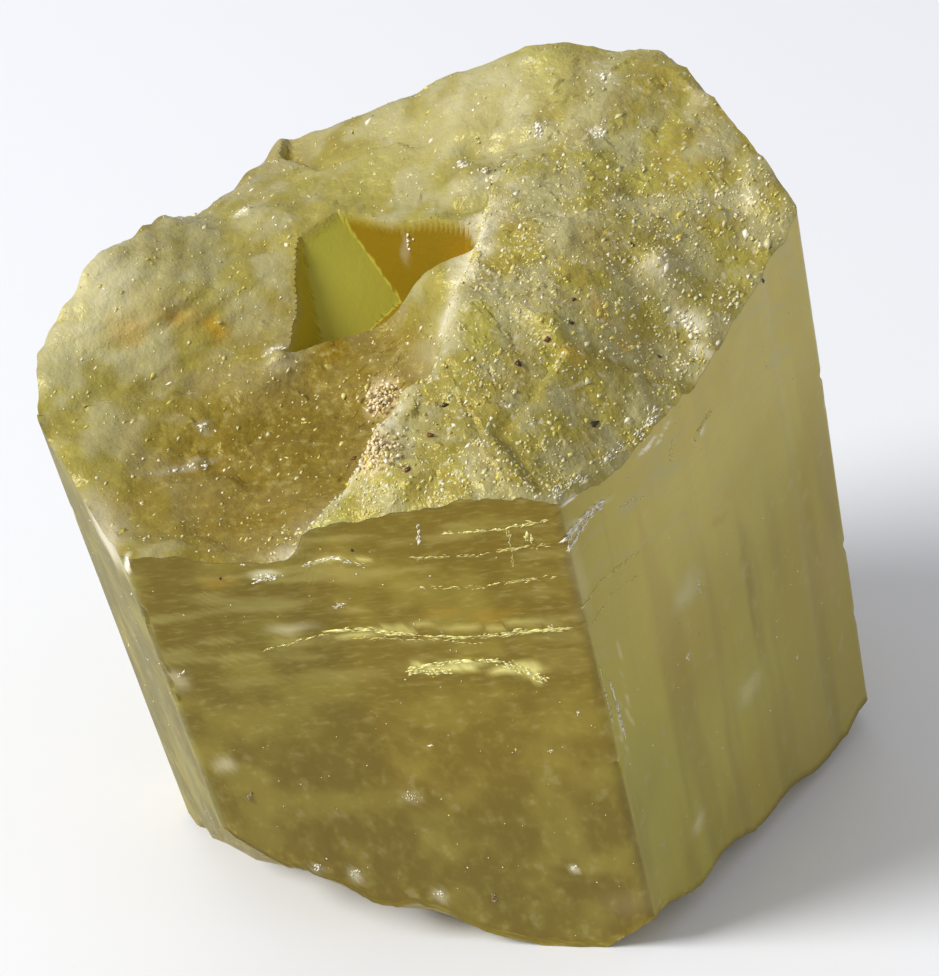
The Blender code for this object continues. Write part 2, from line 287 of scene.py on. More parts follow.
# Fine breaks in the faces, seen as rows of bright flakes: face, points (along the face, w), spread, number of
# flakes, their length and width, tone
FRACTURES = (
    ("front", ((6.6, 12.4), (7.9, 12.2)), 0.07, 70, 0.13, 0.050, "crack_yellow"),
    ("front", ((6.8, 12.5), (8.0, 12.6), (9.3, 12.5)), 0.03, 110, 0.20, 0.040, "crack_yellow"),
    ("front", ((9.3, 12.4), (9.8, 12.1), (10.4, 11.5)), 0.08, 110, 0.12, 0.050, "crack_yellow"),
    ("front", ((3.0, 13.7), (5.0, 14.2), (5.9, 14.2)), 0.03, 70, 0.24, 0.022, "layer_yellow"),
    ("front", ((5.0, 14.2), (5.9, 14.2), (7.1, 13.8), (8.7, 13.5), (11.5, 13.5)),
     0.04, 240, 0.26, 0.030, "crack_yellow"),
    ("front", ((5.5, 13.9), (7.4, 13.6), (9.0, 13.2)), 0.03, 60, 0.24, 0.020, "layer_yellow"),
    ("front", ((4.8, 16.8), (5.6, 17.0), (6.4, 16.6)), 0.04, 60, 0.12, 0.030, "crust_white"),
    ("front", ((7.8, 16.7), (9.2, 16.6), (11.3, 16.7)), 0.03, 90, 0.22, 0.022, "layer_yellow"),
    ("front", ((8.7, 17.5), (10.0, 17.4), (11.5, 17.6)), 0.03, 80, 0.22, 0.024, "crack_yellow"),
    ("front", ((7.6, 15.6), (9.0, 15.4), (11.4, 15.5)), 0.04, 70, 0.22, 0.020, "layer_yellow"),
    ("front", ((10.4, 17.4), (10.3, 16.0)), 0.02, 40, 0.18, 0.020, "layer_yellow"),
    ("front", ((8.1, 17.9), (8.0, 17.3)), 0.03, 30, 0.10, 0.035, "crust_white"),
    ("front", ((10.9, 17.2), (10.9, 16.9)), 0.06, 24, 0.10, 0.040, "crack_yellow"),
    ("front", ((3.3, 16.4), (3.9, 16.5)), 0.07, 36, 0.12, 0.040, "crust_white"),
    ("front", ((5.2, 15.1), (5.6, 15.2)), 0.06, 20, 0.08, 0.035, "crust_white"),
    ("front", ((0.3, 13.0), (0.5, 13.2)), 0.05, 12, 0.08, 0.035, "milky_white"),
    ("front", ((6.7, 9.3), (6.8, 9.3)), 0.03, 10, 0.08, 0.040, "crust_white"),
    ("front", ((5.7, 7.1), (5.8, 7.3)), 0.10, 26, 0.08, 0.040, "milky_white"),
    ("front", ((2.3, 4.3), (2.4, 4.5)), 0.05, 16, 0.08, 0.040, "crust_white"),
    ("front", ((3.4, 3.9), (3.5, 4.1)), 0.06, 20, 0.08, 0.045, "crust_white"),
    ("front", ((5.7, 2.6), (5.8, 2.8)), 0.06, 20, 0.08, 0.045, "crust_white"),
    ("front", ((9.8, 3.3), (9.9, 3.4)), 0.04, 16, 0.08, 0.045, "crust_white"),
    ("front", ((10.0, 8.5), (10.1, 8.6)), 0.03, 8, 0.07, 0.035, "milky_white"),
    ("front", ((11.1, 10.0), (11.1, 10.2)), 0.03, 10, 0.07, 0.035, "crust_white"),
    ("front", ((2.6, 17.3), (3.0, 17.5), (3.6, 17.45), (4.3, 17.3), (3.8, 17.1), (3.0, 17.1), (2.6, 17.3)),
     0.04, 150, 0.12, 0.050, "crust_white"),
    ("right", ((0.0, 16.8), (0.9, 16.8), (1.8, 16.5)), 0.09, 90, 0.24, 0.055, "crust_white"),
    ("right", ((0.1, 16.4), (1.0, 16.6)), 0.05, 40, 0.22, 0.040, "crust_white"),
    ("right", ((6.4, 14.9), (6.8, 15.1), (7.3, 15.1)), 0.05, 50, 0.16, 0.045, "layer_yellow"),
    ("right", ((2.5, 15.7), (3.1, 15.5), (3.5, 15.1)), 0.04, 40, 0.12, 0.035, "layer_yellow"),
    ("right", ((5.1, 15.2), (5.4, 15.7)), 0.05, 20, 0.10, 0.035, "frost"),
    ("right", ((0.1, 14.2), (1.0, 14.3), (2.9, 13.7)), 0.03, 90, 0.18, 0.022, "layer_yellow"),
    ("right", ((0.2, 13.3), (1.4, 13.5), (2.6, 13.0)), 0.04, 50, 0.16, 0.020, "layer_yellow"),
    ("right", ((0.2, 11.6), (0.2, 9.3)), 0.015, 70, 0.26, 0.022, "frost"),
    ("right", ((0.5, 10.8), (0.6, 8.3)), 0.02, 90, 0.26, 0.032, "milky_white"),
    ("right", ((4.1, 8.1), (4.2, 8.2)), 0.05, 12, 0.08, 0.040, "milky_white"),
    ("right", ((9.4, 2.8), (9.5, 2.9)), 0.05, 12, 0.08, 0.040, "milky_white"),
    ("right", ((5.2, 9.9), (5.3, 10.0)), 0.12, 24, 0.08, 0.040, "milky_white"),
    ("front", ((1.1, 7.7), (1.2, 7.9)), 0.03, 14, 0.10, 0.060, "dark_vein"),
    ("front", ((7.3, 2.2), (7.3, 2.5)), 0.03, 16, 0.10, 0.060, "dark_vein"),
)
# Needles that break out where the right face meets the break (u, v) from and to, number, length, width
RIM_NEEDLES = (
    ((0.7, 0.2), (1.7, 1.3), 46, 0.30, 0.060),
    ((3.2, 2.7), (4.2, 3.9), 44, 0.28, 0.060),
    ((2.3, 1.9), (3.0, 2.8), 20, 0.20, 0.045),
    ((5.2, 5.2), (5.8, 6.0), 22, 0.20, 0.050),
)
# Heaps of cream bits on the top (u, v, spread, height, number)
CREAM_HEAPS = (
    (-3.1, 7.3, 0.26, 0.24, 170),
    (-3.5, 2.6, 0.32, 0.20, 200),
)
SPECKS_PER_MM = 12
HIGHEST_SPECK = 19.0
SPECK_SIZE = 0.038
SPECK_STRETCH = 1.5
FRACTURE_SEED = 57
NEEDLE_SPREAD = 0.06

GRAIN_SEED = 61
GRAIN_SINK = 0.05
GRAIN_STRETCH = 1.7

# Every bit's corners are moved by up to this share; bits that lean keep closer to their way and are longer
BIT_WOBBLE = 0.25
LEANING_WOBBLE = 0.25
LEANING_STRETCH = 2.4
LYING_STRETCH = 1.3
FLAKE_WOBBLE = 0.18
FLAKE_SPREAD = 0.35

# Crumbs: how many places are tried, how deep one sits, how uneven their sizes are, and their clumps
CRUMB_SEED = 51
CRUMB_TRIES = 42000
CRUMB_SINK = 0.20
CRUMB_SPREAD = 0.40
CRUMB_RIM_GAP = 0.10
CLUMP_SEED = 52
CLUMP_CELL = 0.9
LEAST_CLUMPED = 0.25
CLUMP_FADE = 0.4
# Where crumbs lie: on the slope right of the scarp as far back as a v, along the scarp, and in a belt
# along the front face right of a u, with the share of tries kept in each and anywhere
SLOPE_RISE = 0.4
SLOPE_BACK = 12.0
SLOPE_FADE = 4.0
SLOPE_CRUMBS = 0.65
SCARP_CRUMBS_REACH = 0.30
SCARP_CRUMBS = 0.9
BELT_MIDDLE = 0.6
BELT_SCALE = 1.2
BELT_NARROWNESS = 4.0
BELT_START = -7.0
BELT_FADE = 0.6
BELT_CRUMBS = 0.45
LEAST_CRUMBS = 0.06
FRONT_SLANT = 0.23

# Bits on the white chips and painted glints and on the cream heaps: number at full strength, how far they
# keep from the rim, share of the chip that they cover, size over a crumb's, how uneven, and share of those in
# a heap that lean
CHIP_BITS = 22
CHIP_RIM_GAP = 0.4
CHIP_CORE = 0.5
CHIP_BIT_SCALE = 1.5
CREAM_BIT_SCALE = 1.35
CHIP_SPREAD = 0.3
CREAM_LEANING = 0.2

# Tones of the strewn bits and their shares
GRIT_TONES = (("crust_white", 1.6), ("frost", 6.0), ("milky", 1.5), ("layer_yellow", 1.0), ("olive", 2.0))
CHIP_TONES = (("crust_white", 4.0), ("frost", 1.0))
CREAM_TONES = (("cream", 4.0), ("crust_white", 1.0), ("layer_yellow", 1.0))
GRAIN_TONES = (("grain_dark", 3.0), ("grain_brown", 1.0))
SPECK_TONES = (("crust_white", 1.0), ("frost", 2.0), ("layer_yellow", 1.0))


def lean_matrix():
    """The turn that takes the crystal's own frame to the standing one."""
    axis = Vector((-math.tan(LEAN_LEFT), -math.tan(LEAN_FORWARD), 1.0)).normalized()
    tilt = Vector((0.0, 0.0, 1.0)).rotation_difference(axis).to_matrix()
    return np.array(tilt @ Matrix.Rotation(TURN_ABOUT_AXIS, 3, "Z"))


def standing_places(own):
    """Points of the crystal's frame in metres in the standing frame: turned, then moved over the middle."""
    return (own @ lean_matrix().T + np.array([-CENTRE_X, -CENTRE_Y, FOOT_HEIGHT])) * MM


def soft_step(value, width):
    """A step from 0 to 1 over twice the width: 3 s squared minus 2 s cubed."""
    share = np.clip(value / (2.0 * width) + 0.5, 0.0, 1.0)
    return share * share * (3.0 - 2.0 * share)


def rolling_noise(x, y, seed):
    """Random numbers from -1 to 1 at whole x and y, blended smoothly between the four nearest."""
    table = np.random.default_rng(seed).uniform(-1.0, 1.0, (CELL_TABLE, CELL_TABLE))
    low_x, low_y = np.floor(x).astype(int), np.floor(y).astype(int)
    share_x, share_y = soft_step(x - low_x - 0.5, 0.5), soft_step(y - low_y - 0.5, 0.5)
    corner = [
        table[(low_x + step_x) % CELL_TABLE, (low_y + step_y) % CELL_TABLE]
        for step_x in (0, 1)
        for step_y in (0, 1)
    ]
    near = corner[0] * (1.0 - share_y) + corner[1] * share_y
    far = corner[2] * (1.0 - share_y) + corner[3] * share_y
    return near * (1.0 - share_x) + far * share_x


def along_axes(own, heading, dip):
    """Points seen along axes that are turned about the upright by a heading, then dipped."""
    return own @ np.array(Matrix.Rotation(heading, 3, "Z") @ Matrix.Rotation(dip, 3, "Y"))


def cloud(own, reach, seed, octaves=3, heading=0.0, dip=0.0):
    """Cloudy shares from 0 to 1 in the solid: random numbers at the corners of turned boxes, blended
    smoothly, with each octave half as long and half as strong as the one before."""
    points = along_axes(own, heading, dip) / np.array(reach)
    table = np.random.default_rng(seed).uniform(0.0, 1.0, (CLOUD_TABLE,) * 3)
    total = np.zeros(own.shape[:-1])
    whole = 0.0
    for octave in range(octaves):
        scaled = points * 2.0**octave + OCTAVE_SHIFT * octave
        low = np.floor(scaled).astype(int)
        share = soft_step(scaled - low - 0.5, 0.5)
        level = np.zeros(total.shape)
        for corner in np.ndindex(2, 2, 2):
            near = np.prod(np.where(np.array(corner) == 1, share, 1.0 - share), axis=-1)
            index = (low + np.array(corner)) % CLOUD_TABLE
            level += near * table[index[..., 0], index[..., 1], index[..., 2]]
        total += level / 2.0**octave
        whole += 1.0 / 2.0**octave
    return total / whole


def ramp(value, low, high):
    """A soft step from 0 at low to 1 at high."""
    return soft_step((value - low) / (high - low) - 0.5, 0.5)


def scattered_cells(x, y, seed):
    """Each point's nearest of one random spot per whole square: its offset and three chances of its own."""
    table = np.random.default_rng(seed).uniform(0.0, 1.0, (CELL_TABLE, CELL_TABLE, 5))
    low_x, low_y = np.floor(x).astype(int), np.floor(y).astype(int)
    best = np.full(x.shape, 1e9)
    found = np.zeros(x.shape + (5,))
    for step_x in (-1, 0, 1):
        for step_y in (-1, 0, 1):
            own = table[(low_x + step_x) % CELL_TABLE, (low_y + step_y) % CELL_TABLE]
            away_x = x - (low_x + step_x + own[..., 0])
            away_y = y - (low_y + step_y + own[..., 1])
            distance2 = away_x**2 + away_y**2
            closer = distance2 < best
            best = np.where(closer, distance2, best)
            offered = np.concatenate([away_x[..., None], away_y[..., None], own[..., 2:]], axis=-1)
            found = np.where(closer[..., None], offered, found)
    return found


def tilted_cells(u, v, cell, tilt, rise, seed):
    """Small flat facets: a random rise for each cell plus a random slope times the offset in it."""
    found = scattered_cells(u / cell, v / cell, seed)
    slope_u = (2.0 * found[..., 2] - 1.0) * tilt
    slope_v = (2.0 * found[..., 3] - 1.0) * tilt
    return (2.0 * found[..., 4] - 1.0) * rise + cell * (slope_u * found[..., 0] + slope_v * found[..., 1])


def nearby_mean(distance2, soft2, values):
    """The mean of values, weighted by e to the minus squared distance over soft2."""
    weight = np.exp((distance2.min(axis=-1, keepdims=True) - distance2) / soft2)
    return (weight * values).sum(axis=-1) / weight.sum(axis=-1)


def blended_height(u, v):
    """The weighted mean of the named heights, with weights that fall off with distance."""
    known = np.array(RIM_HEIGHTS + INNER_HEIGHTS)
    distance2 = (u[..., None] - known[:, 0]) ** 2 + (v[..., None] - known[:, 1]) ** 2
    return nearby_mean(distance2, 2.0 * HEIGHT_REACH**2, known[:, 2])


def side_of_scarp(u, v):
    """Signed distance to the scarp's line: positive on the right of its way."""
    best = np.full(u.shape, 1e9)
    signed = np.zeros(u.shape)
    for (u0, v0), (u1, v1) in zip(SCARP, SCARP[1:]):
        du, dv = u1 - u0, v1 - v0
        length2 = du * du + dv * dv
        share = np.clip(((u - u0) * du + (v - v0) * dv) / length2, 0.0, 1.0)
        away = np.hypot(u - u0 - share * du, v - v0 - share * dv)
        side = np.sign((u - u0) * dv - (v - v0) * du)
        closer = away < best
        best = np.where(closer, away, best)
        signed = np.where(closer, away * side, signed)
    return signed


def scarp_height(u, v):
    """A sharp rise across the scarp that fades out within its reach on both sides."""
    across = side_of_scarp(u, v)
    fade = np.exp(-((across / SCARP_REACH) ** 2))
    return SCARP_RISE * fade * (soft_step(across, SCARP_WIDTH) - 0.5)


def lump_height(u, v):
    """Rounded lumps: a bell curve for each."""
    total = np.zeros(u.shape)
    for lump_u, lump_v, radius, height in LUMPS:
        total += height * np.exp(-((u - lump_u) ** 2 + (v - lump_v) ** 2) / radius**2)
    return total


def facet_height(u, v):
    """Broad tilted facets: each point takes the planes of the nearest facet centres, blended where
    they meet."""
    chance = np.random.default_rng(FACET_SEED)
    centre_u = chance.uniform(*FACET_SPREAD_U, FACET_COUNT)
    centre_v = chance.uniform(*FACET_SPREAD_V, FACET_COUNT)
    tilt_u = chance.normal(0.0, FACET_TILT, FACET_COUNT)
    tilt_v = chance.normal(0.0, FACET_TILT, FACET_COUNT)
    rise = chance.normal(0.0, FACET_STEP, FACET_COUNT)
    away_u, away_v = u[..., None] - centre_u, v[..., None] - centre_v
    planes = rise + tilt_u * away_u + tilt_v * away_v
    return nearby_mean(away_u**2 + away_v**2, FACET_BLEND**2, planes)


def pit_planes(u, v):
    """Each of the pit's planes as heights, one after another."""
    walls = []
    for wall_u, wall_v, wall_w, heading, slope in PIT_WALLS:
        turn = math.radians(heading)
        along = (u - wall_u) * math.cos(turn) + (v - wall_v) * math.sin(turn)
        walls.append(wall_w + slope * along)
    return np.array(walls)


def pit_height(u, v):
    """The highest of the pit's planes at each point, so that they meet in sharp edges."""
    return pit_planes(u, v).max(axis=0)


def beyond_line(x, y, start, end, inset=0.0):
    """How far a point lies on the right of the line from start to end, moved left by the inset."""
    dx, dy = end[0] - start[0], end[1] - start[1]
    return ((x - start[0]) * dy - (y - start[1]) * dx) / math.hypot(dx, dy) + inset


def rim_distance(u, v):
    """How far a point lies inside the nearest face of the prism."""
    return np.min([-beyond_line(u, v, start, end) for start, end in SIDES], axis=0)


def ground_height(u, v):
    """The broken top without its pit, with fine cells, rolling ground, layered steps and a crumbled rim."""
    calm = 1.0 - FACET_EDGE_CALM * np.exp(-np.clip(rim_distance(u, v), 0.0, None))
    plain = blended_height(u, v) + scarp_height(u, v) + lump_height(u, v) + calm * facet_height(u, v)
    crusty = CALM_SHARE + (1.0 - CALM_SHARE) * soft_step(side_of_scarp(u, v), CALM_FADE)
    fine = sum(tilted_cells(u, v, *cells) for cells in FINE_CELLS)
    rolling = ROLLING_HEIGHT * rolling_noise(u / ROLLING_CELL, v / ROLLING_CELL, ROLLING_SEED)
    layered = 1.0 - soft_step(u - LAYERS_END, LAYERS_FADE)
    turn = 2.0 * math.pi * (plain + rolling) / LAYER_STEP
    steps = -LAYER_SHARE * LAYER_STEP / (2.0 * math.pi) * np.sin(turn) * layered
    broken = 0.5 + 0.5 * rolling_noise(u / RIM_BREAK_CELL, v / RIM_BREAK_CELL, RIM_BREAK_SEED)
    nearness = np.clip(1.0 - rim_distance(u, v) / RIM_BREAK_REACH, 0.0, 1.0)
    crumbled = RIM_BREAK_DEPTH * broken * nearness**2
    return plain + crusty * fine + rolling * crusty + steps - crumbled


def top_height(u, v):
    """Height of the broken top: the ground, cut by the pit where that is lower."""
    return np.minimum(ground_height(u, v), pit_height(u, v))


def foot_height(x, y):
    """Height of the chipped foot over the standing plane, never below it."""
    waves = (np.sin(fast_x * x + fast_y * y + shift) for fast_x, fast_y, shift in FOOT_WAVES)
    ripple = FOOT_ROUGHNESS * sum(waves)
    left = -beyond_line(x, y, CHIP_EDGE_START, CHIP_EDGE_END)
    front_left = CHIP_SLOPE * left + CHIP_CURVE * np.clip(left, 0.0, None) ** 2
    right = UNDERCUT_SLOPE * beyond_line(x, y, UNDERCUT_START, UNDERCUT_END, UNDERCUT_INSET)
    corner = CORNER_CHIP_SLOPE * beyond_line(x, y, CORNER_CHIP_START, CORNER_CHIP_END)
    chipped = np.max([front_left, right, corner], axis=0)
    fine = sum(tilted_cells(x, y, *cells) for cells in FINE_CELLS)
    return np.maximum(chipped + (ripple + fine) * np.clip(chipped, 0.0, 1.0), 0.0)


def foot_place(u, v):
    """The w at which each upright line meets the foot: the lean is undone and tried again a few times."""
    turn = lean_matrix()
    w = np.zeros(u.shape)
    for _ in range(SOLVE_STEPS):
        x = turn[0, 0] * u + turn[0, 1] * v + turn[0, 2] * w
        y = turn[1, 0] * u + turn[1, 1] * v + turn[1, 2] * w
        w = (foot_height(x, y) - FOOT_HEIGHT - turn[2, 0] * u - turn[2, 1] * v) / turn[2, 2]
    return w


def face_knots(start, end):
    """Points along one face, from its worn edge to the next, with the low growth steps between."""
    start, end = np.array(start), np.array(end)
    length = np.hypot(*(end - start))
    along = (end - start) / length
    inwards = np.array([-along[1], along[0]])
    run = length - 2.0 * EDGE_WEAR
    first = start + along * EDGE_WEAR
    knots = [first]
    depth = 0.0
    for place, step_depth in GROWTH_STEPS:
        knots.append(first + along * (run * place) + inwards * depth)
        knots.append(first + along * (run * place + STEP_RUN) + inwards * step_depth)
        depth = step_depth
    knots.append(end - along * EDGE_WEAR)
    return knots, inwards


def worn_arc(start, corner, end):
    """A bend from start to end that leans towards the corner: the quadratic curve through both."""
    share = (np.arange(EDGE_ARC_STEPS) / EDGE_ARC_STEPS)[:, None]
    pull = EDGE_FULLNESS * np.array(corner) + (1.0 - EDGE_FULLNESS) * (start + end) / 2.0
    return (1.0 - share) ** 2 * start + 2.0 * share * (1.0 - share) * pull + share**2 * end


def outline_columns(seen_gap, hidden_gap):
    """The prism's outline as columns: places, inward directions, and each column's face number."""
    knots, inwards = zip(*(face_knots(start, end) for start, end in SIDES))
    places, directions, faces = [], [], []
    for number, face in enumerate(FACES):
        following = (number + 1) % len(FACES)
        gap = seen_gap if face in SEEN_FACES else hidden_gap
        for start, end in zip(knots[number], knots[number][1:]):
            count = max(1, round(float(np.hypot(*(end - start))) / gap))
            places.append(start + (np.arange(count) / count)[:, None] * (end - start))
            directions.append(np.tile(inwards[number], (count, 1)))
            faces.append(np.full(count, number))
        arc = worn_arc(knots[number][-1], CORNERS[following], knots[following][0])
        between = inwards[number] + inwards[following]
        places.append(arc)
        directions.append(np.tile(between / np.hypot(*between), (EDGE_ARC_STEPS, 1)))
        faces.append(np.full(EDGE_ARC_STEPS, number))
    return np.concatenate(places), np.concatenate(directions), np.concatenate(faces)


def face_depth(run, edge_distance, w):
    """How far the face lies inwards: rolling ripples, long upwards, and nicks that fade away from the
    edges."""
    depth = np.zeros(np.broadcast(run, w).shape)
    for cell_along, cell_up, reach, seed in FACE_RIPPLES:
        depth = depth + reach * (0.5 + 0.5 * rolling_noise(run / cell_along, w / cell_up, seed))
    nick = np.clip(rolling_noise(run / NICK_CELL, w / NICK_CELL, NICK_SEED) - NICK_START, 0.0, None)
    return depth + NICK_DEPTH * nick * np.exp(-edge_distance / NICK_REACH)


def closed_faces(rows, columns):
    """Quads between neighbours on a grid that closes round, and a fan at each pole after the grid."""
    number = np.arange(rows * columns).reshape(rows, columns)
    turned = np.roll(number, -1, axis=1)
    quads = np.stack([number[:-1], number[1:], turned[1:], turned[:-1]], axis=-1).reshape(-1, 4)
    first_pole, last_pole = rows * columns, rows * columns + 1
    top = np.stack([np.full(columns, first_pole), number[0], turned[0]], axis=-1)
    bottom = np.stack([number[-1], np.full(columns, last_pole), turned[-1]], axis=-1)
    return quads, np.concatenate([top, bottom])


def mesh_of(name, places, quads, triangles):
    """A mesh from arrays of points, four-sided faces and three-sided faces."""
    data = bpy.data.meshes.new(name)
    data.vertices.add(len(places))
    data.vertices.foreach_set("co", places.astype(np.float32).ravel())
    corners = np.concatenate([quads.ravel(), triangles.ravel()])
    data.loops.add(len(corners))
    data.loops.foreach_set("vertex_index", corners.astype(np.int32))
    starts = np.concatenate([np.arange(len(quads)) * 4, quads.size + np.arange(len(triangles)) * 3])
    data.polygons.add(len(starts))
    data.polygons.foreach_set("loop_start", starts.astype(np.int32))
    data.update(calc_edges=True)
    data.validate()
    return data


def give_values(data, name, values):
    """Keeps a number, a point or a colour on each vertex of a mesh under a name that its material reads."""
    if name.endswith("colour"):
        kept = data.attributes.new(name, "FLOAT_COLOR", "POINT")
        whole = np.concatenate([values, np.ones((len(values), 1))], axis=1)
        kept.data.foreach_set("color", whole.astype(np.float32).ravel())
    elif values.ndim == 2:
        kept = data.attributes.new(name, "FLOAT_VECTOR", "POINT")
        kept.data.foreach_set("vector", values.astype(np.float32).ravel())
    else:
        kept = data.attributes.new(name, "FLOAT", "POINT")
        kept.data.foreach_set("value", values.astype(np.float32))


def put_in_scene(name, data):
    """An object with this data, in the scene's own collection."""
    made = bpy.data.objects.new(name, data)
    bpy.context.scene.collection.objects.link(made)
    return made


def add_piece(name, data, material):
    """Puts a mesh into the scene as a piece of the stone that rides with it."""
    piece = put_in_scene(name, data)
    data.materials.append(material)
    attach(piece, "root")
    return piece


def above_pit(u, v):
    """How far the ground lies above the pit: it changes sign at the pit's rim."""
    return ground_height(u, v) - pit_height(u, v)


def above_other_walls(u, v):
    """How far the clean facet lies above the pit's other walls: it changes sign at the facet's edges."""
    planes = pit_planes(u, v)
    return planes[FACET_WALL] - np.delete(planes, FACET_WALL, axis=0).max(axis=0)


def creased_shares(share, rim):
    """Shares of the way from the middle to the rim, moved onto the creases of the pit: where a signed
    height changes sign between two rings, the nearer of both moves to the crossing, so that the crease
    stays straight."""
    share = np.tile(share, (1, len(rim)))
    for signed in (above_pit, above_other_walls):
        place = np.array(TOP_MIDDLE) + share[..., None] * (rim - np.array(TOP_MIDDLE))
        height = signed(place[..., 0], place[..., 1])
        row, column = np.nonzero(height[:-1] * height[1:] < 0.0)
        part = height[row, column] / (height[row, column] - height[row + 1, column])
        crossing = share[row, column] * (1.0 - part) + share[row + 1, column] * part
        moved = row + (part > 0.5)
        inner = (moved > 0) & (moved < len(share) - 1)
        share[moved[inner], column[inner]] = crossing[inner]
    return share[..., None]


def outline_parts(sizes):
    """The outline's places, inward directions and faces, with each column's run and distance to an edge."""
    outline, inwards, faces = outline_columns(sizes.seen_gap / MM, sizes.hidden_gap / MM)
    steps = np.hypot(*(np.roll(outline, -1, axis=0) - outline).T)
    run = np.concatenate([[0.0], np.cumsum(steps)[:-1]])
    away = outline[:, None] - np.array(CORNERS)
    return outline, inwards, faces, run, np.hypot(away[..., 0], away[..., 1]).min(axis=1)


def stone_rows(sizes):
    """The stone's points, row by row: rings over the top, rows down the faces, rings under the foot."""
    outline, inwards, faces, run, edge_distance = outline_parts(sizes)
    rim_w = top_height(outline[:, 0], outline[:, 1])
    rim = outline + inwards * face_depth(run, edge_distance, rim_w)[:, None]
    rim_w = top_height(rim[:, 0], rim[:, 1])
    foot_w = foot_place(outline[:, 0], outline[:, 1])
    foot = outline + inwards * face_depth(run, edge_distance, foot_w)[:, None]
    foot_w = foot_place(foot[:, 0], foot[:, 1])

    share = creased_shares(np.linspace(POLE_SHARE, 1.0, sizes.top_rings)[:, None], rim)
    top = np.array(TOP_MIDDLE) + share * (rim - np.array(TOP_MIDDLE))
    top_w = top_height(top[..., 0], top[..., 1])

    down = np.linspace(0.0, 1.0, sizes.side_rows + 2)[1:-1, None] ** ROW_CROWDING
    side_w = rim_w * (1.0 - down) + foot_w * down
    side = outline + inwards * face_depth(run, edge_distance, side_w)[..., None]

    under_share = np.linspace(1.0, POLE_SHARE, sizes.foot_rings)[:, None, None]
    under = np.array(FOOT_MIDDLE) + under_share * (foot - np.array(FOOT_MIDDLE))
    under_w = foot_place(under[..., 0], under[..., 1])

    plan = np.concatenate([top, side, under])
    heights = np.concatenate([top_w, side_w, under_w])
    own = np.concatenate([plan, heights[..., None]], axis=-1)
    return own, faces, foot_w


def stone_zones(own, faces, foot_w, sizes):
    """Shares from 0 to 1, by name, that say which surface each point is on, what covers it, and where shade,
    sheen and glints are painted.
    """
    rows, columns = own.shape[:2]
    u, v, w = own[..., 0], own[..., 1], own[..., 2]
    on_top = np.zeros((rows, columns))
    on_top[: sizes.top_rings] = 1.0
    under = np.zeros((rows, columns))
    under[-sizes.foot_rings :] = 1.0
    on_side = (1.0 - on_top) * (1.0 - under)
    front, right, strip = (on_side * (faces == FACES.index(name)) for name in SEEN_FACES)
    across = side_of_scarp(u, v)
    crumbly = on_top * soft_step(across - CRUMBLY_START, CRUMBLY_FADE)
    clouds = {
        name: ramp(cloud(own, reach, seed, octaves, *turn), low, high)
        for name, (reach, seed, octaves, low, high, *turn) in CLOUDS.items()
    }
    clumps = cloud(own, *CRUST_CLUMPS)
    crust = np.exp(-((across / CRUST_REACH) ** 2)) * ramp(clumps, 0.35, 0.65)
    lump = np.clip(lump_height(u, v) / LUMP_COVERED, 0.0, 1.0) * ramp(clumps, 0.30, 0.60)
    pit = on_top * soft_step(above_pit(u, v) - PIT_EDGE, PIT_EDGE)
    wall = pit_planes(u, v).argmax(axis=0)
    broken = np.maximum(on_top * (0.75 + 0.25 * crumbly), 0.8 * under)
    zones = {
        "on_top": on_top,
        "under": under,
        "crumbly": crumbly,
        "pit": pit,
        "breaks": broken * (1.0 - 0.85 * pit),
        "patches": clouds["patches"],
        "columns": clouds["columns"],
        "veils": clouds["veils"],
        # Painted shade: the whole front face is laid darker with deep olive
        "front": front,
        # Painted shade: the break is laid darker, less on the crumbly slope
        "top_shade": on_top * (0.55 - 0.25 * crumbly),
        # Pale veil in part and painted sheen in part: the right face is laid paler, more so upwards and away
        # from its front edge
        "right": right * (0.30 + 0.45 * ramp(w, *RIGHT_PALER_UP)) * ramp(u, *RIGHT_PALER_ALONG),
        # Painted shade: the narrow left face is laid darker as a whole
        "strip": strip,
        "layers": front * clouds["layers"] * ramp(w, *LAYERS_UP),
        "streaks": right * clouds["streaks"] * ramp(w, *STREAKS_UP),
        "frosting": on_top * (0.18 + 0.70 * clouds["frosting"]),
        "bowl": on_top * soft_step(BOWL_TOP - w, BOWL_FADE) * (1.0 - soft_step(across, 0.3)),
        "warm": crumbly * clouds["warm"],
        "crust": on_top * np.maximum(crust, lump) * (1.0 - pit),
        "under_shade": under,
        # Painted shade: a dark band up the front face from its foot, where the foot meets the floor
        "foot_contact_shade": front * np.exp(-np.clip(w - foot_w, 0.0, None) / CONTACT_SHADE_REACH),
    }
    for name, strength in STRENGTHS.items():
        zones[name] = strength * zones[name]
    ragged = wandering(own)
    for name, group in BLOTS.items():
        zones[name] = blot_share(ragged, group)
    # The chips and painted glints are fainter on the top
    zones["chips"] = zones["chips"] * (1.0 - CHIPS_FAINTER_ON_TOP * on_top)
    zones["facet"] = pit * (wall == FACET_WALL)
    # Painted shade: the walls that shut in the deep pocket are laid brown
    zones["pocket_shade"] = np.maximum(zones["pocket_shade"], pit * np.isin(wall, POCKET_WALLS))
    zones["orange_pocket"] = zones["orange_pocket"] * pit
    zones["clear"] = 1.0 - np.max([strength * zones[share] for share, strength in CLOUDINESS], axis=0)
    return zones


def laid_colour(zones, colours):
    """The stone's colour at each point: every share lays its own colour over what is there, in order."""
    body = np.array(colours.olive)
    for share, laid in COLOUR_STEPS:
        body = body + zones[share][..., None] * (np.array(getattr(colours, laid)) - body)
    return body


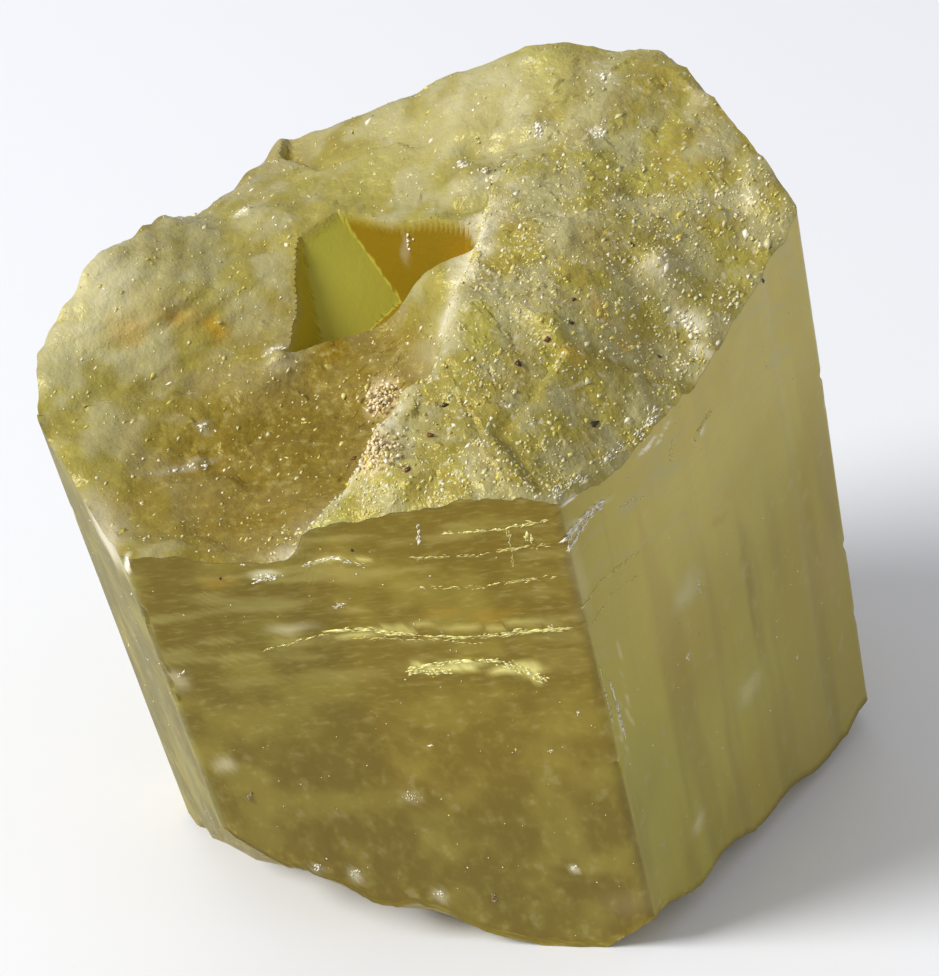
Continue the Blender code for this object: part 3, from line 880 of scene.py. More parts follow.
def stone_finish(zones, colours):
    """Three numbers at each point: the share seen through, the roughness and the height of the fine
    relief."""
    breaks = np.maximum(zones["on_top"], zones["under"])
    clearness = colours.clear_faces + breaks * (colours.clear_top - colours.clear_faces)
    rough = colours.rough_faces + breaks * (colours.rough_top - colours.rough_faces)
    rough = rough + STRIP_ROUGHER * zones["strip"]
    height = LINE_HEIGHT + zones["breaks"] * (GRIT_HEIGHT - LINE_HEIGHT)
    return np.stack([zones["clear"] * clearness, rough, height], axis=-1)


def grain_places(own, breaks, faces):
    """Where each point reads the mottles: even on the breaks, stretched on the faces, as flat layers high up
    and more upright lower down, because the way up runs faster above a height than below it."""
    headings = np.array(HEADINGS)[faces]
    along = own[..., 0] * np.cos(headings) + own[..., 1] * np.sin(headings)
    across = own[..., 1] * np.cos(headings) - own[..., 0] * np.sin(headings)
    above = LAYERS_BEND * np.logaddexp(0.0, (own[..., 2] - LAYERS_START) / LAYERS_BEND)
    upwards = MOTTLE_RISE * own[..., 2] + (LAYER_RISE - MOTTLE_RISE) * above
    on_faces = np.stack([MOTTLE_RUN * along, MOTTLE_RUN * across, upwards], axis=-1)
    return np.where(breaks[..., None] > 0.5, MOTTLES_ON_BREAKS * own, on_faces)


def relief_places(own, breaks):
    """Where each point reads the fine relief: upright lines on the faces, grit on the breaks."""
    return own * np.where(breaks[..., None] > 0.5, GRIT_FINENESS, LINE_FINENESS)


def with_poles(grid):
    """A grid's values as one list, and after them the means of its first and last rows for the two poles."""
    flat = grid.reshape(-1, *grid.shape[2:])
    return np.concatenate([flat, [grid[0].mean(axis=0), grid[-1].mean(axis=0)]])


def blot_share(own, group):
    """The strongest of several blots at each point: 1 inside a turned egg, fading softly to 0 outside it."""
    strongest = np.zeros(own.shape[:-1])
    for centre, reach, heading, dip, strength, soft in group:
        beside = along_axes(own - np.array(centre), heading, dip)
        away = np.linalg.norm(beside / np.array(reach), axis=-1)
        strongest = np.maximum(strongest, strength * (1.0 - soft_step(away - 1.0, soft)))
    return strongest


def wandering(own):
    """The points moved a little each way by clouds, which makes the edges of blots ragged."""
    shift = [cloud(own, (WANDER_CELL,) * 3, seed, 2) - 0.5 for seed in WANDER_SEEDS]
    return own + WANDER_REACH * np.stack(shift, axis=-1)


class Recipe:
    """One material's nodes, added and joined one at a time."""

    def __init__(self, name):
        self.material = bpy.data.materials.new(name)
        self.material.use_nodes = True
        self.tree = self.material.node_tree
        self.shader = self.tree.nodes["Principled BSDF"]

    def give(self, socket, value):
        """Joins another node's output to a socket, or sets the socket's own value."""
        if isinstance(value, bpy.types.NodeSocket):
            self.tree.links.new(value, socket)
        else:
            socket.default_value = value

    def node(self, kind, inputs, output=0, **settings):
        """Adds a node with its settings and inputs, and gives one of its outputs."""
        made = self.tree.nodes.new(kind)
        for key, setting in settings.items():
            setattr(made, key, setting)
        for key, value in inputs.items():
            self.give(made.inputs[key], value)
        return made.outputs[output]

    def shade(self, inputs):
        """Gives the shader's sockets, by name, their values or other nodes' outputs."""
        for name, value in inputs.items():
            self.give(self.shader.inputs[name], value)

    def product(self, *values):
        """Two numbers multiplied."""
        return self.node("ShaderNodeMath", dict(enumerate(values)), operation="MULTIPLY")

    def smooth(self, value, low, high, bottom=0.0, top=1.0):
        """A soft step between two values."""
        inputs = {0: value, 1: low, 2: high, 3: bottom, 4: top}
        return self.node("ShaderNodeMapRange", inputs, interpolation_type="SMOOTHSTEP")

    def blend(self, share, first, second):
        """Mixes two colours."""
        return self.node("ShaderNodeMix", {0: share, 6: first, 7: second}, output=2, data_type="RGBA")

    def kept(self, name, output="Fac"):
        """A value that the mesh keeps under a name."""
        return self.node("ShaderNodeAttribute", {}, output=output, attribute_name=name)

    def noise(self, place, scale, detail, roughness):
        """Cloudy noise."""
        inputs = {"Vector": place, "Scale": scale, "Detail": detail, "Roughness": roughness}
        return self.node("ShaderNodeTexNoise", inputs, output="Fac")


# Blots of colour: centre (u, v, w), reach along, across and up, heading, dip, strength, softness
CRACKS = (
    ((-3.15, 0.72, 12.38), (1.15, 0.5, 0.19), FRONT_HEADING, 0.03, 1.0, 0.4),
    ((-1.35, 0.31, 12.02), (0.75, 0.5, 0.22), FRONT_HEADING, 0.05, 1.0, 0.4),
    ((-4.05, 0.95, 12.45), (0.25, 0.5, 0.20), FRONT_HEADING, 0.3, 0.9, 0.4),
    ((-0.95, 0.22, 11.62), (0.30, 0.5, 0.12), FRONT_HEADING, 0.4, 0.8, 0.4),
    ((-4.70, 1.07, 14.05), (1.50, 0.5, 0.13), FRONT_HEADING, -0.10, 0.7, 0.5),
    ((-1.60, 0.37, 13.85), (1.60, 0.5, 0.12), FRONT_HEADING, 0.10, 0.55, 0.5),
    ((-5.60, 1.30, 16.95), (0.45, 0.5, 0.10), FRONT_HEADING, -0.25, 0.8, 0.4),
    ((-4.75, 1.10, 16.80), (0.45, 0.5, 0.10), FRONT_HEADING, 0.30, 0.8, 0.4),
)
MILKY_SPOTS = (
    ((-5.23, 1.20, 7.15), (0.26, 0.6, 0.24), FRONT_HEADING, 0.0, 0.45, 0.9),
    ((-10.40, 12.30, 19.20), (1.90, 1.70, 1.8), 0.0, 0.0, 0.55, 0.9),
    ((1.60, 16.00, 19.30), (3.20, 1.60, 1.6), 0.0, 0.0, 0.34, 0.9),
    ((-10.08, 2.32, 9.18), (0.28, 0.6, 0.24), FRONT_HEADING, 0.0, 0.65, 0.9),
    ((-7.04, 1.62, 14.45), (0.55, 0.6, 0.18), FRONT_HEADING, 0.0, 0.60, 0.9),
    ((-7.22, 1.66, 16.62), (0.35, 0.6, 0.15), FRONT_HEADING, 0.0, 0.80, 0.8),
    ((-10.45, 2.40, 12.88), (0.28, 0.6, 0.35), FRONT_HEADING, 0.0, 0.55, 0.9),
    ((-8.61, 1.98, 4.20), (0.25, 0.6, 0.18), FRONT_HEADING, 0.0, 0.85, 0.8),
    ((-7.46, 1.71, 3.87), (0.20, 0.6, 0.28), FRONT_HEADING, 0.0, 0.90, 0.8),
    ((-5.24, 1.20, 2.60), (0.22, 0.6, 0.26), FRONT_HEADING, 0.0, 0.90, 0.8),
    ((-1.15, 0.27, 3.36), (0.12, 0.6, 0.16), FRONT_HEADING, 0.0, 1.00, 0.8),
    ((0.90, 0.00, 15.40), (0.22, 0.6, 1.60), RIGHT_HEADING, 0.0, 0.35, 0.9),
    ((4.01, 3.34, 10.35), (0.70, 0.6, 0.50), RIGHT_HEADING, 0.0, 0.40, 0.7),
    ((5.34, 4.77, 4.10), (0.60, 0.6, 0.45), RIGHT_HEADING, 0.0, 0.40, 0.7),
    ((2.87, 2.11, 1.97), (0.40, 0.6, 0.30), RIGHT_HEADING, 0.0, 0.45, 0.7),
)
# White chips, bruises and fracture streaks, with painted glints: most small white spots on the top, the one
# in the pocket and the streak at the strip's top corner stand for glints and highlights
CHIPS_AND_GLINTS = (
    ((-7.35, 1.75, 17.50), (1.05, 0.7, 0.24), FRONT_HEADING, 0.08, 0.90, 0.35),
    ((-11.30, 4.00, 17.20), (0.50, 1.6, 0.80), 0.0, 0.0, 0.70, 0.6),
    ((-10.66, 2.55, 17.45), (0.10, 0.3, 0.34), FRONT_HEADING, 0.2, 1.00, 0.4),
    ((-5.88, 15.53, 18.40), (0.26, 0.4, 0.60), 0.0, 0.0, 1.00, 0.4),
    ((-5.71, 9.70, 17.60), (0.24, 0.2, 0.50), 0.0, 0.0, 0.80, 0.8),
    ((-1.30, 12.30, 17.60), (0.16, 0.1, 0.80), 0.0, 0.0, 0.30, 0.4),
    ((0.83, 13.92, 18.10), (0.24, 0.3, 0.60), 0.0, 0.0, 1.00, 0.4),
    ((1.35, 12.90, 18.50), (0.42, 0.4, 0.70), 0.6, 0.0, 0.95, 0.6),
    ((3.19, 13.84, 19.45), (0.16, 0.2, 0.60), 0.0, 0.0, 1.00, 0.4),
    ((4.78, 13.10, 19.66), (0.24, 0.2, 0.60), 0.0, 0.0, 1.00, 0.4),
    ((5.53, 15.49, 19.75), (0.22, 0.3, 0.60), 0.0, 0.0, 0.60, 0.7),
    ((5.40, 7.55, 18.60), (0.30, 0.36, 0.50), 0.0, 0.0, 0.50, 0.9),
    ((5.72, 6.45, 17.50), (0.20, 0.5, 0.50), 0.9, 0.0, 0.90, 0.5),
    ((5.77, 5.74, 16.94), (0.16, 0.4, 0.40), 0.9, 0.0, 0.90, 0.5),
    ((8.22, 9.90, 18.20), (0.60, 0.4, 0.50), 0.5, 0.0, 0.60, 0.8),
    ((7.99, 13.87, 19.40), (0.30, 0.5, 0.50), 0.0, 0.0, 0.60, 0.8),
    ((-8.80, 6.30, 17.00), (0.90, 0.14, 0.60), 0.25, 0.0, 0.60, 0.6),
    ((-8.10, 7.60, 17.20), (0.22, 0.22, 0.50), 0.0, 0.0, 0.50, 0.6),
    ((1.10, 0.20, 17.90), (0.46, 0.3, 0.09), RIGHT_HEADING, 0.25, 0.95, 0.4),
    ((1.60, 0.75, 16.70), (1.00, 0.3, 0.07), RIGHT_HEADING, 0.32, 0.55, 0.6),
    ((3.60, 2.90, 16.50), (0.55, 0.3, 0.09), RIGHT_HEADING, 0.10, 0.95, 0.4),
    ((4.15, 3.50, 16.30), (0.45, 0.3, 0.07), RIGHT_HEADING, -0.20, 0.90, 0.4),
    ((5.20, 4.62, 14.90), (0.36, 0.3, 0.09), RIGHT_HEADING, 0.15, 0.85, 0.4),
    ((1.13, 0.24, 9.30), (0.045, 0.3, 1.30), RIGHT_HEADING, 0.05, 0.75, 0.4),
    ((1.50, 0.64, 9.90), (0.035, 0.3, 1.90), RIGHT_HEADING, 0.08, 0.45, 0.5),
)
CREAM_LUMPS = (
    ((-3.10, 7.30, 16.70), (0.50, 0.55, 0.9), 0.0, 0.0, 0.9, 0.6),
    ((-3.60, 2.60, 18.90), (0.60, 0.70, 0.9), 0.3, 0.0, 0.8, 0.6),
)
ORANGE_STAINS = (
    ((-9.58, 10.84, 18.69), (0.55, 0.45, 0.6), 0.0, 0.0, 0.75, 0.6),
    ((-8.30, 11.20, 18.30), (0.65, 0.35, 0.6), 0.0, 0.0, 0.70, 0.6),
    ((-7.23, 10.83, 17.84), (0.40, 0.45, 0.6), 0.0, 0.0, 0.85, 0.6),
    ((3.32, 6.21, 18.83), (0.28, 0.35, 0.6), 0.0, 0.0, 0.60, 0.6),
    ((3.74, 5.52, 17.98), (0.35, 0.25, 0.6), 0.0, 0.0, 0.60, 0.6),
    ((2.32, 4.63, 19.01), (0.35, 0.25, 0.6), 0.0, 0.0, 0.45, 0.6),
    ((-2.94, 0.68, 14.60), (0.60, 0.6, 0.17), FRONT_HEADING, 0.0, 0.55, 0.6),
    ((-1.55, 0.36, 14.30), (0.60, 0.6, 0.24), FRONT_HEADING, 0.0, 0.55, 0.6),
    ((5.30, 4.75, 11.40), (0.50, 0.6, 0.14), RIGHT_HEADING, 0.2, 0.40, 0.6),
    ((-8.55, 1.98, 16.50), (0.45, 0.6, 0.24), FRONT_HEADING, 0.0, 0.55, 0.7),
)
# Painted shade: brown in the small hollow below the green facet
POCKET_SHADE_BLOTS = (
    ((-4.10, 9.60, 17.00), (0.45, 0.60, 0.8), 0.0, 0.0, 0.9, 0.5),
)
POCKET_ORANGE = (
    ((0.30, 10.60, 17.40), (0.70, 0.90, 1.2), 0.0, 0.0, 0.8, 0.8),
    ((-1.00, 10.40, 16.60), (0.80, 0.60, 0.8), 0.0, 0.0, 0.7, 0.8),
)
DARK_VEINS = (
    ((5.95, 5.43, 7.70), (0.16, 0.5, 2.00), RIGHT_HEADING, 0.03, 0.30, 0.9),
    ((-9.74, 2.24, 7.73), (0.15, 0.5, 0.14), FRONT_HEADING, 0.0, 0.75, 0.6),
    ((-3.67, 0.85, 2.26), (0.13, 0.5, 0.20), FRONT_HEADING, 0.0, 0.95, 0.6),
    ((-0.15, 0.05, 14.60), (0.75, 0.5, 3.00), FRONT_HEADING, 0.0, 0.45, 0.7),
    ((-5.60, 6.90, 16.70), (1.50, 1.80, 1.2), 0.4, 0.0, 0.40, 0.8),
    ((0.40, 7.40, 19.30), (0.80, 0.30, 0.9), 0.9, 0.0, 0.65, 0.6),
)
PINK_VEILS = (
    ((8.93, 8.63, 4.74), (0.80, 0.8, 1.50), RIGHT_HEADING, 0.0, 0.34, 0.9),
    ((9.30, 9.00, 8.20), (0.40, 0.8, 1.80), RIGHT_HEADING, 0.0, 0.30, 0.9),
    ((0.20, -0.20, 1.60), (0.50, 0.8, 0.50), RIGHT_HEADING, 0.0, 0.35, 0.8),
)

# Clouds in the stone: reach along, across and up, seed, octaves, where each starts and is full, heading, dip
CLOUDS = {
    "patches": ((4.2, 4.2, 4.2), 71, 3, 0.36, 0.64),
    "columns": ((0.8, 0.8, 9.0), 72, 3, 0.46, 0.70),
    "veils": ((1.2, 1.2, 1.2), 73, 4, 0.42, 0.72),
    "layers": ((1.8, 1.8, 0.34), 74, 2, 0.55, 0.78, FRONT_HEADING),
    "streaks": ((1.6, 1.6, 0.30), 75, 2, 0.56, 0.80, RIGHT_HEADING, 0.32),
    "frosting": ((0.9, 0.9, 0.9), 76, 4, 0.38, 0.62),
    "warm": ((0.7, 0.7, 0.7), 77, 3, 0.48, 0.66),
}
# The clumps of the crust along the scarp: reach, seed, octaves
CRUST_CLUMPS = ((0.8, 0.8, 0.8), 41, 2)
CRUST_REACH = 0.75
LUMP_COVERED = 0.5
CRUMBLY_START = 0.2
CRUMBLY_FADE = 0.7
# Depth under the pit's rim at which its colours are half there
PIT_EDGE = 0.15
# Heights, or for one of them places along u, between which a share comes in
# The right face's pale veil and painted sheen grow upwards and along u
RIGHT_PALER_UP = (7.0, 15.0)
RIGHT_PALER_ALONG = (0.0, 4.5)
LAYERS_UP = (10.5, 14.5)
STREAKS_UP = (9.0, 15.5)
BOWL_TOP = 17.55
BOWL_FADE = 0.75
# How far up from the foot the painted contact shade reaches
CONTACT_SHADE_REACH = 0.60
CHIPS_FAINTER_ON_TOP = 0.45
# How strong a share is at most, where that is less than 1
STRENGTHS = {
    "columns": 0.45,
    "veils": 0.38,
    "front": 0.90,
    "strip": 0.85,
    "layers": 0.60,
    "streaks": 0.55,
    "bowl": 0.88,
    "warm": 0.32,
    "crust": 0.70,
    "under_shade": 0.75,
    "foot_contact_shade": 0.95,
}

BLOTS = {
    "cracks": CRACKS,
    "milky": MILKY_SPOTS,
    "chips": CHIPS_AND_GLINTS,
    "cream": CREAM_LUMPS,
    "stains": ORANGE_STAINS,
    "pocket_shade": POCKET_SHADE_BLOTS,
    "orange_pocket": POCKET_ORANGE,
    "veins": DARK_VEINS,
    "pink": PINK_VEILS,
}

# Which colour each share lays over what is there, in order
COLOUR_STEPS = (
    ("patches", "green"),
    ("columns", "deep_olive_and_shade"),
    # Painted shade over the front face as a whole
    ("front", "deep_olive_and_shade"),
    # Pale veil and painted sheen on the right face
    ("right", "beige_and_sheen"),
    # Painted shade over the narrow left face
    ("strip", "strip_shade"),
    ("top_shade", "top_shade_olive"),
    ("veils", "milky"),
    ("layers", "layer_yellow"),
    ("streaks", "frost"),
    ("frosting", "frost"),
    ("bowl", "bowl_brown"),
    ("warm", "warm_grit"),
    ("crust", "crust_white"),
    ("pit", "pit_green"),
    # Brown painted for the shade in the pocket
    ("pocket_shade", "pocket_shade_brown"),
    ("orange_pocket", "pocket_orange"),
    ("facet", "facet_green"),
    ("stains", "stain_orange"),
    ("pink", "pink_veil"),
    ("veins", "dark_vein"),
    ("milky", "milky_white"),
    ("cracks", "crack_yellow"),
    ("cream", "cream"),
    # Chips and painted glints in crust white
    ("chips", "crust_white"),
    # Painted shade along the front face's foot and under the foot
    ("foot_contact_shade", "dark_vein"),
    ("under_shade", "dark_vein"),
)

# How much each share clouds the stone
CLOUDINESS = (
    ("crust", 1.0),
    ("chips", 1.0),
    ("milky", 1.0),
    ("cream", 1.0),
    ("cracks", 0.9),
    ("veils", 0.3),
    ("right", 0.5),
    ("stains", 0.5),
    ("pocket_shade", 0.7),
    ("veins", 0.6),
    ("foot_contact_shade", 0.9),
    ("under_shade", 1.0),
    ("bowl", 0.3),
)

# Fineness of the mottles: along and up the faces, up them above the height where flat layers start, over
# which length the change comes, and fineness on the breaks
MOTTLE_RUN = 2.0
MOTTLE_RISE = 1.3
LAYER_RISE = 7.5
LAYERS_START = 11.5
LAYERS_BEND = 0.9
MOTTLES_ON_BREAKS = 3.4

# Fineness along u, v and w, and height, of the relief that is finer than the mesh
LINE_FINENESS = (6.0, 6.0, 0.11)
GRIT_FINENESS = (4.6, 4.6, 4.6)
LINE_HEIGHT = 0.005
GRIT_HEIGHT = 0.070
STRIP_ROUGHER = 0.25

# Noises of the materials: scale, detail and roughness
MOTTLE_NOISE = (1.0, 2.0, 0.65)
RELIEF_NOISE = (1.0, 2.0, 0.6)
# Where mottles and flecks start in it and are full, with the least and the most of a mottle
MOTTLES = (0.44, 0.68, 0.0, 0.26)
FLECKS = (0.60, 0.70)
# Casts over the tones of bits and of grains: their noise, and where they start and are full, least and most
BIT_CAST = ((5.0, 1.0, 0.55), (0.40, 0.62, 0.0, 0.35))
GRAIN_CAST = ((8.0, 1.0, 0.55), (0.45, 0.62, 0.0, 0.6))
CRUMB_ROUGHNESS = 0.32
FLAKE_ROUGHNESS = 0.10
GRAIN_ROUGHNESS = 0.35

# The floor and the view
FLOOR_HALF = 3.0
FLOOR_SINK = 0.02 * MM
FLOOR_ROUGHNESS = 0.7
LIT_HEIGHT = 10.0 * MM
SENSOR_WIDTH = 36.0

# How many pale flecks, partly crust specks and partly painted sparkle, lie on the faces, and how many more on
# crusty ground
LEAST_FLECKS = 0.10
MORE_FLECKS = 0.45


def colour(values):
    """A colour property as the four numbers that a node's socket takes."""
    return (values[0], values[1], values[2], 1.0)


def stone_colour(recipe, colours):
    """The colour laid on the mesh, with mottles and pale flecks that are finer than it; the flecks are partly
    crust specks and partly painted sparkle.
    """
    fine = recipe.noise(recipe.kept("grain_place", "Vector"), *MOTTLE_NOISE)
    mottles = recipe.smooth(fine, *MOTTLES)
    body = recipe.blend(mottles, recipe.kept("own_colour", "Color"), colour(colours.milky))
    flecks = recipe.product(recipe.smooth(fine, *FLECKS), recipe.kept("flecked"))
    return recipe.blend(flecks, body, colour(colours.crust_white))


def stone_material(colours):
    """The stone's finish: clear yellow-green stuff that drinks blue light, milky and rough where it is
    broken."""
    recipe = Recipe("apatite")
    body = stone_colour(recipe, colours)
    finish = recipe.node("ShaderNodeSeparateXYZ", {"Vector": recipe.kept("finish", "Vector")}).node.outputs
    relief = recipe.noise(recipe.kept("relief_place", "Vector"), *RELIEF_NOISE)
    height = recipe.product(relief, finish["Z"])
    recipe.shade({
        "Base Color": body,
        "Transmission Weight": finish["X"],
        "Roughness": finish["Y"],
        "Normal": recipe.node("ShaderNodeBump", {"Strength": 1.0, "Distance": MM, "Height": height}),
        "IOR": colours.light_bend,
        "Specular IOR Level": colours.shine,
        "Specular Tint": colour(colours.shine_tint),
    })

    inside = recipe.tree.nodes.new("ShaderNodeVolumeAbsorption")
    inside.inputs["Color"].default_value = colour(colours.absorbed)
    inside.inputs["Density"].default_value = colours.absorption
    output = recipe.tree.nodes["Material Output"]
    recipe.tree.links.new(inside.outputs["Volume"], output.inputs["Volume"])
    return recipe.material


def strewn_material(name, cast, cast_colour, finish):
    """Strewn bits whose tone the mesh keeps, with a cast of another colour in places."""
    recipe = Recipe(name)
    noise, share = cast
    shade = recipe.smooth(recipe.noise(recipe.kept("own_place", "Vector"), *noise), *share)
    body = recipe.blend(shade, recipe.kept("own_colour", "Color"), colour(cast_colour))
    recipe.shade({"Base Color": body, **finish})
    return recipe.material


def unit(vectors):
    """Vectors brought to length 1."""
    return vectors / np.linalg.norm(vectors, axis=1, keepdims=True)


def uneven(chance, spread, count):
    """Factors round 1, as often above it as below."""
    return np.exp(chance.normal(0.0, spread, count))


def angular_bits(centres, lengths, widths, ways, seed):
    """Small closed eight-sided bits: six points on three axes of their own, moved a little. The first axis
    follows each bit's way and is as long as its length, and the others are as long as its width."""
    chance = np.random.default_rng(seed)
    count = len(centres)
    points = np.array([(1, 0, 0), (0, 1, 0), (-1, 0, 0), (0, -1, 0), (0, 0, 1), (0, 0, -1)], float)
    points = points + chance.uniform(-BIT_WOBBLE, BIT_WOBBLE, (count, 6, 3))
    points = points * np.stack([lengths, widths, widths], axis=-1)[:, None, :] / 2.0
    first = unit(ways)
    second = unit(np.cross(first, chance.normal(size=(count, 3))))
    axes = np.stack([first, second, np.cross(first, second)], axis=1)
    points = points @ axes + centres[:, None, :]
    upper = [(a, (a + 1) % 4, 4) for a in range(4)]
    lower = [((a + 1) % 4, a, 5) for a in range(4)]
    faces = np.array(upper + lower) + 6 * np.arange(count)[:, None, None]
    return points.reshape(-1, 3), faces.reshape(-1, 3)


def bits_piece(name, bits, seed, material):
    """One joined mesh of angular bits: each entry of bits holds centres, lengths, widths, ways and tones."""
    centres, lengths, widths, ways, tones = (np.concatenate(kind) for kind in zip(*bits))
    own, faces = angular_bits(centres, lengths, widths, ways, seed)
    data = mesh_of(name, standing_places(own), np.zeros((0, 4), int), faces)
    give_values(data, "own_place", own)
    give_values(data, "own_colour", np.repeat(tones, 6, axis=0))
    return add_piece(name, data, material)


def chosen_tones(chance, count, mixture, colours):
    """One tone for each bit, drawn from a mixture of named colours and their shares."""
    names, shares = zip(*mixture)
    table = np.array([getattr(colours, name) for name in names])
    return table[chance.choice(len(names), count, p=np.array(shares) / sum(shares))]


def bits_on_top(chance, u, v, sizes, mixture, colours, leaning=0.5, stack=0.0):
    """Bits that lie on the broken top: part of them leans along the right face's heading, and the rest
    lies any way."""
    count = len(u)
    w = top_height(u, v) - CRUMB_SINK * sizes + stack * chance.uniform(0.0, 1.0, count)
    ways = chance.normal(size=(count, 3))
    slanted = chance.uniform(0.0, 1.0, count) < leaning
    along = (math.cos(RIGHT_HEADING), math.sin(RIGHT_HEADING), 0.0)
    ways[slanted] = LEANING_WOBBLE * ways[slanted] + np.array(along)
    lengths = sizes * np.where(slanted, LEANING_STRETCH, LYING_STRETCH)
    return np.stack([u, v, w], axis=-1), lengths, sizes, ways, chosen_tones(chance, count, mixture, colours)


def crumbs_wanted(u, v):
    """The share of tries that leave a crumb: clumps on the slope and the scarp, and a belt along the
    front face."""
    across = side_of_scarp(u, v)
    rolling = rolling_noise(u / CLUMP_CELL, v / CLUMP_CELL, CLUMP_SEED)
    clumps = LEAST_CLUMPED + (1.0 - LEAST_CLUMPED) * soft_step(rolling, CLUMP_FADE)
    slope = soft_step(across, SLOPE_RISE) * soft_step(SLOPE_BACK - v, SLOPE_FADE) * clumps
    line = np.exp(-((across / SCARP_CRUMBS_REACH) ** 2)) * clumps
    from_belt = (v + FRONT_SLANT * u) / BELT_SCALE - BELT_MIDDLE
    belt = np.exp(-(from_belt**2) * BELT_NARROWNESS) * soft_step(u - BELT_START, BELT_FADE)
    return np.clip(SLOPE_CRUMBS * slope + SCARP_CRUMBS * line + BELT_CRUMBS * belt, LEAST_CRUMBS, 1.0)


def bits_along(chance, face, line, spread, count, length, width, tone, parts, colours):
    """Thin flakes strewn along a line on a face, which is given as points (along the face, w)."""
    knots = np.array(line)
    reach = np.concatenate([[0.0], np.cumsum(np.hypot(*np.diff(knots, axis=0).T))])
    drawn = chance.uniform(0.0, reach[-1], count)
    along = np.interp(drawn, reach, knots[:, 0]) + spread * chance.normal(size=count)
    w = np.interp(drawn, reach, knots[:, 1]) + spread * chance.normal(size=count)
    part = np.clip(np.searchsorted(reach, drawn, side="right") - 1, 0, len(knots) - 2)
    step = np.diff(knots, axis=0)[part]
    centres, heading = face_places(face, along, w, parts)
    ways = np.stack([step[:, 0] * math.cos(heading), step[:, 0] * math.sin(heading), step[:, 1]], axis=-1)
    ways = unit(ways) + FLAKE_WOBBLE * chance.normal(size=(count, 3))
    scale = uneven(chance, FLAKE_SPREAD, count)
    tones = np.tile(getattr(colours, tone), (count, 1))
    kept = on_the_face(centres, width)
    return tuple(values[kept] for values in (centres, length * scale, width * scale, ways, tones))


def face_ends(face):
    """The two corners that a face runs between, and its length."""
    start, end = (np.array(corner) for corner in SIDES[FACES.index(face)])
    return start, end, float(np.hypot(*(end - start)))


def on_the_face(centres, margin):
    """Which points lie above the foot and below the rim by at least a margin."""
    u, v, w = centres.T
    return (w < top_height(u, v) - margin) & (w > foot_place(u, v) + margin)


def face_places(face, along, w, parts):
    """Points on a face's real surface, from how far along it they lie and how high: the nearest column is
    taken, and moved inwards as far as the face lies there."""
    outline, inwards, faces, run, edge_distance = parts
    start, end, length = face_ends(face)
    columns = np.flatnonzero(faces == FACES.index(face))
    places = (outline[columns] - start) @ (end - start) / length
    closest = np.abs(places[:, None] - along).argmin(axis=0)
    nearest = columns[closest]
    depth = face_depth(run[nearest], edge_distance[nearest], w)
    beside = (along - places[closest])[:, None] * (end - start) / length
    plan = outline[nearest] + beside + inwards[nearest] * depth[:, None]
    return np.concatenate([plan, w[:, None]], axis=1), HEADINGS[FACES.index(face)]


def tint(name, description, default):
    """A colour that a user can change."""
    return FloatVectorProperty(
        name=name, description=description, subtype="COLOR", default=default, min=0.0, max=1.0
    )


def amount(name, description, default, **more):
    """A number that a user can change."""
    return FloatProperty(name=name, description=description, default=default, **more)


def fraction(name, description, default):
    """A share from 0 to 1 that a user can change."""
    return amount(name, description, default, subtype="FACTOR")


def fine_length(name, description, default):
    """A small length that a user can change."""
    return amount(name, description, default, unit="LENGTH", precision=6)


class CrystalSizes(bpy.types.PropertyGroup):
    """How finely the stone is made, and the size and number of its crumbs."""

    seen_gap: fine_length("Column gap in front", "Between columns on front, right and strip", 0.127 * MM)
    hidden_gap: fine_length("Column gap behind", "Between columns on the other faces", 0.172 * MM)
    top_rings: IntProperty(name="Top rings", description="Rings over the broken top", default=101, min=8)
    side_rows: IntProperty(name="Side rows", description="Rows down the prism faces", default=78, min=4)
    foot_rings: IntProperty(name="Foot rings", description="Rings under the foot", default=18, min=4)
    crumb_size: fine_length("Crumb size", "Size of a middling pale crumb", 0.070 * MM)


